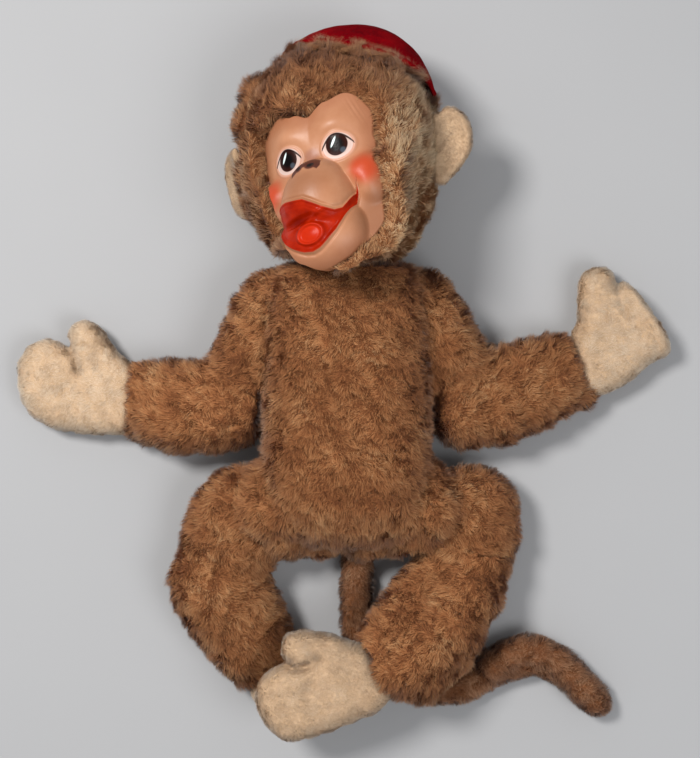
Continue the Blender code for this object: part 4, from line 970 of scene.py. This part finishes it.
blush = hump(np.hypot(np.where(slope > 0, slope / 8.5, slope / 7.5),
                      ((flat_v + 16.5) * 0.83 - (side - 29.0) * 0.55) / 9.5) ** 1.3)
iris = np.hypot(side - 15.3, flat_v - 0.7)
lash = np.abs(flat_v - (6.2 - 0.080 * (side - 15.5) ** 2)) + np.clip(np.abs(side - 15.5) - 9.0, 0, 9) * 3
from_eye = flat_u - np.sign(flat_u) * 15.5
# painted highlight: a white streak on each iris; gleam is a painted blue-grey reflection lower down on the
# iris
highlight_streak = np.hypot((from_eye + 1.6 - (flat_v - 2.4) * 0.6) / 0.85, (flat_v - 2.4) / 3.0)
gleam = np.hypot((from_eye - 3.0) / 1.5, (flat_v + 3.0) / 1.5)
nose_half = 2.7 - 0.22 * np.clip(flat_u, -8, 0)
nose = np.abs(flat_v - (-6.9 - 0.045 * side ** 2)) / nose_half + np.clip(side - 7.6, 0, 9)
nose = np.minimum(nose, np.hypot((side - 3.9) / 3.6, (flat_v + 8.6) / 2.8))
nostril = np.hypot((side - 3.7) / 1.9, (flat_v + 9.0) / 1.3)
bridge = np.hypot(flat_u / 5.0, (flat_v + 1.0) / 4.0)
# the patch over the muzzle is sprayed tan; the second one, on the sides of the jaw, is painted shade
muzzle_tan_and_jaw_shade = hump(np.hypot(flat_u / 17.0, (flat_v + 19.0) / 12.0))
muzzle_tan_and_jaw_shade = np.maximum(0.9 * muzzle_tan_and_jaw_shade, 1.2 * hump(np.hypot((side - 32.0) / 11.0, (flat_v + 42.0) / 15.0)))
painted = {**inner, "rim": rim, "blush": blush, "iris": iris, "lash": lash, "highlight_streak": highlight_streak, "gleam": gleam,
           "nose": nose, "nostril": nostril, "bridge": bridge, "muzzle_tan_and_jaw_shade": muzzle_tan_and_jaw_shade}
for key, values in painted.items():
    store(mask, key, values)
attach(mask, "head")
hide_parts("face_mask")
print("mask", len(mask.data.vertices), "points")

# %% [markdown]
# The vinyl is painted by spray and by hand: a warm skin, a tan muzzle, orange-red cheeks and lips, dark
# irises, a thin upper lash line, and a brown nose. Light and shade are painted on it too: a white highlight
# streak and a blue-grey reflection on each iris, and shade towards the mask's edge, on the sides of the jaw
# and in the mouth's hollow. Lips and eyes are smoother than the satin skin.

# %% Mask paint
face = Paint("painted_vinyl", Specular_IOR_Level=0.5)
colour = face.ramp(face.noise(14.0, 3.0), ((0.3, seen(170, 114, 80)), (0.7, seen(184, 129, 95))))


def coats(colour, layers):
    """Layers of paint: the kept value, where it starts and ends, the cover at both, and the colour."""
    for key, start, end, first, last, tint in layers:
        colour = face.mix(face.span(face.kept(key), start, end, first, last), colour, seen(*tint))
    return colour


# painted shade: the skin darkens towards the mask's edge and on the sides of the jaw; the tan over the
# muzzle is sprayed colour
colour = coats(colour, (
    ("rim", 0.72, 1.0, 0.0, 0.5, (146, 86, 56)), ("muzzle_tan_and_jaw_shade", 0.2, 0.9, 0.0, 0.75, (140, 90, 60)),
    ("blush", 0.0, 0.95, 0.0, 0.9, (184, 58, 16)), ("bridge", 0.5, 1.3, 0.5, 0.0, (140, 92, 84)),
    ("nose", 0.8, 1.15, 0.95, 0.0, (70, 22, 12)), ("nostril", 0.7, 1.2, 1.0, 0.0, (22, 8, 6))))
lip_share = face.span(face.kept("lip"), -0.3, 0.35)
lip_red = face.ramp(face.noise(7.0), ((0.3, seen(140, 20, 0)), (0.7, seen(170, 34, 2))))
# painted shade: the red darkens in the mouth's hollow under the upper lip
lip_red = coats(lip_red, (
    ("mouth", 0.2, 1.1, 0.6, 0.0, (92, 6, 2)), ("tongue", 0.9, 1.1, 0.45, 0.0, (206, 48, 16))))
colour = face.mix(lip_share, colour, lip_red)
lid = face.span(face.kept("eye"), 1.0, 1.24, 0.7, 0.0)
colour = face.mix(lid, colour, seen(210, 160, 140))
white = face.span(face.kept("eye"), 0.94, 1.0, 1.0, 0.0)
colour = face.mix(white, colour, seen(206, 180, 170))
iris_share = face.sums("MULTIPLY", face.span(face.kept("iris"), 5.8, 6.3, 1.0, 0.0), white)
iris_rings = ((0.0, seen(8, 5, 5)), (1.0, seen(46, 18, 12)))
colour = face.mix(iris_share, colour, face.ramp(face.span(face.kept("iris"), 2.4, 5.6), iris_rings))
# a painted blue-grey reflection and a painted white highlight streak on the irises; the lash line between
# them is paint
colour = coats(colour, (
    ("gleam", 0.6, 1.4, 0.5, 0.0, (84, 100, 112)), ("lash", 0.45, 0.95, 0.95, 0.0, (34, 14, 10)),
    ("highlight_streak", 0.7, 1.1, 1.0, 0.0, (228, 244, 242))))
shine = face.sums("MAXIMUM", lip_share, face.span(face.kept("eye"), 1.0, 1.1, 1.0, 0.0))
rough = face.span(shine, 0.0, 1.0, 0.44, 0.32)
calm = face.span(shine, 0.0, 1.0, 0.42, 0.10)
face_bump = face.bump(face.noise(2.2, 3.0), 0.10)
mask.data.materials.append(face.use(Base_Color=colour, Roughness=rough, Specular_IOR_Level=calm,
                                    Normal=face_bump))

# %% [markdown]
# The cap is one piece of red felt over the back of the crown. Its red is mottled coarsely and finely.

# %% Cap
cap = soft_form("cap_felt", ("cap",), 1.4, 0.2, 3)
skins["cap"] = cap
felt = Paint("red_felt", Roughness=1.0, Specular_IOR_Level=0.02)
felt_noise = felt.noise(1.3, 5.0, 0.7)
felt_share = felt.weighed((felt_noise, 0.45), (felt.noise(16.0), 0.55))
felt_red = felt.ramp(felt_share, ((0.3, seen(72, 0, 8)), (0.5, seen(112, 2, 10)), (0.72, seen(146, 6, 14))))
cap.data.materials.append(felt.use(Base_Color=felt_red, Normal=felt.bump(felt_noise, 0.6)))
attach(cap, "head")
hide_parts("cap")

# %% [markdown]
# Now the pile is planted. The blades stand only where nothing covers the skin at rest. On the head they
# close in on the mask's edge, and finer ones lie over the edge of the cap, as a brushed seam does.

# %% Long brown pile


def body_way(vector, normals):
    return laid(np.tile(unit(np.array(vector, float)), (len(normals), 1)), normals)


def set_moving(piece, body, bend):
    if bend is None:
        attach(piece, body)
    else:
        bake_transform(piece)


def past_mask(points):
    """How far points lie past the mask's edge, seen from its front, and how far above it, in millimetres."""
    u, v, w = face_sheet(points)
    return np.hypot(u, v + FACE_DOWN_MM) - face_reach(u, v), w - rim_height(u, v)


DENSITY = 3.8  # blades on a square millimetre
# painted shade: darker pile in the folds, where less light reaches: place on the sheet, how wide and how
# much
SHADED_FOLDS = ((-30, -42, 10, 0.22), (8, -66, 14, 0.25), (-66, 12, 12, 0.3), (54, 6, 12, 0.3),
             (-20, -60, 9, 0.12))
cap_tree = tree_of([cap.data])
BRIM = 6.0 * MM  # as far from the cap as the finer pile reaches over its edge


def far_from_cap(points):
    """Distance to the felt, or a whole metre where it's further than the brim."""
    return np.array([cap_tree.find_nearest(Vector(p), BRIM)[3] or 1.0 for p in points])


def clear_of_cap(roots, normals, distance_mm):
    """Roots with no felt above them within the distance."""
    return np.array([cap_tree.ray_cast(Vector(p), Vector(n), distance_mm * MM)[0] is None
                     for p, n in zip(roots, normals)])


everything = {key: skin.data for key, skin in skins.items()}
for number, (name, skin, mesh, body, bend, nap, paint) in enumerate(plush_pieces):
    chance = np.random.default_rng(100 + number)
    others = tree_of([m for key, m in everything.items() if key != name])
    open_faces = free_faces(skin, ((tree_of([mesh]), 7.0), (others, 3.0)))
    roots, normals = seeds_on(skin, DENSITY, chance, open_faces)
    if name == "head":
        away, above = past_mask(roots)
        bare = ((away < -1.0) & (above > -11)) | (far_from_cap(roots) <= 1.0 * MM)
        free = ~bare & clear_of_cap(roots, normals, 9)
        brim = far_from_cap(points_of(skin.data)[triangles_of(skin.data)].mean(1)) < BRIM
        edge_roots, edge_normals = seeds_on(skin, 8 * DENSITY, chance, brim)
        open_air = clear_of_cap(edge_roots, edge_normals, 14)
        edge_roots, edge_normals = edge_roots[open_air], edge_normals[open_air]
        fringe = pile("cap_fringe", edge_roots + 2.0 * MM * edge_normals, edge_normals, paint, 90, 7.6, 0.15,
                      body_way((0.2, 1, 0), edge_normals), 0.42, lean=(25, 72), tuft_mm=1.5, pull=0.12,
                      curl_mm=0.8)
        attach(fringe, body)
        roots, normals = roots[free], normals[free]
    sheet = sheet_of(roots)
    tone = 0.5 + 0.10 * ripple(roots, 22.0, 900) + 0.05 * ripple(roots, 6.0, 950)
    way = body_way(nap, normals)
    # painted shade darkens the pile in the folds
    for at_x, at_y, wide, depth in SHADED_FOLDS:
        tone -= depth * np.exp(-((sheet[:, 0] - at_x) ** 2 + (sheet[:, 1] - at_y) ** 2) / wide ** 2)
    if name == "head":
        # the pile on the right of the head is painted lighter: partly its own paler, greyer colour, partly
        # painted light that evens out the lamp at the left; over the top of the crown it is darker
        tone += 0.46 * np.clip((sheet[:, 0] - 15) / 25, 0, 1) * np.clip((200 - sheet[:, 1]) / 40, 0, 1)
        tone -= 0.50 * np.clip((sheet[:, 1] - 150) / 30, 0, 1) * np.clip((40 - sheet[:, 0]) / 20, 0, 1)
        inward = unit(face_point(np.zeros(1), np.full(1, -10.0), np.zeros(1)) - roots)
        share = 1.3 * hump(past_mask(roots)[0] / 8.0)[:, None]
        way = laid(way * (1 - 0.8 * np.clip(share, 0, 1)) + share * inward, normals)
    thin = 0.7 if "tail" in name else 1.0
    coat = pile(f"{name}_pile", roots, normals, paint or plush, 40 + number, 4.6 * thin, 0.23,
                way, lean=(8, 56), tuft_mm=2.4, pull=0.27, curl_mm=0.5, tone=tone)
    for piece in (skin, coat):
        set_moving(piece, body, bend)

# %% [markdown]
# The cream nap is shorter and finer, and lies flatter.

# %% Short cream nap
for number, body in enumerate(felt_bodies):
    chance = np.random.default_rng(200 + number)
    own, others = tree_of([skins[body].data]), tree_of([m for key, m in everything.items() if key != body])
    open_faces = free_faces(skins[body], ((own, 5.0), (others, 2.0)))
    roots, normals = seeds_on(skins[body], 6.0, chance, open_faces)
    tone = (0.06 if "ear" in body else 0.2 if "foot" in body else 0.6) + 0.08 * ripple(roots, 18.0, 930)
    nap = body_way((1 if "left" in body else -1, -0.2, 0), normals)
    length = 1.5 if "ear" in body else 1.9
    coat = pile(f"{body}_nap", roots, normals, cream_pile, 70 + number, length, 0.2, nap, lean=(20, 70),
                tuft_mm=1.6, pull=0.2, curl_mm=0.2, wander=0.8, tone=tone, floor_mm=0.3)
    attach(coat, body)
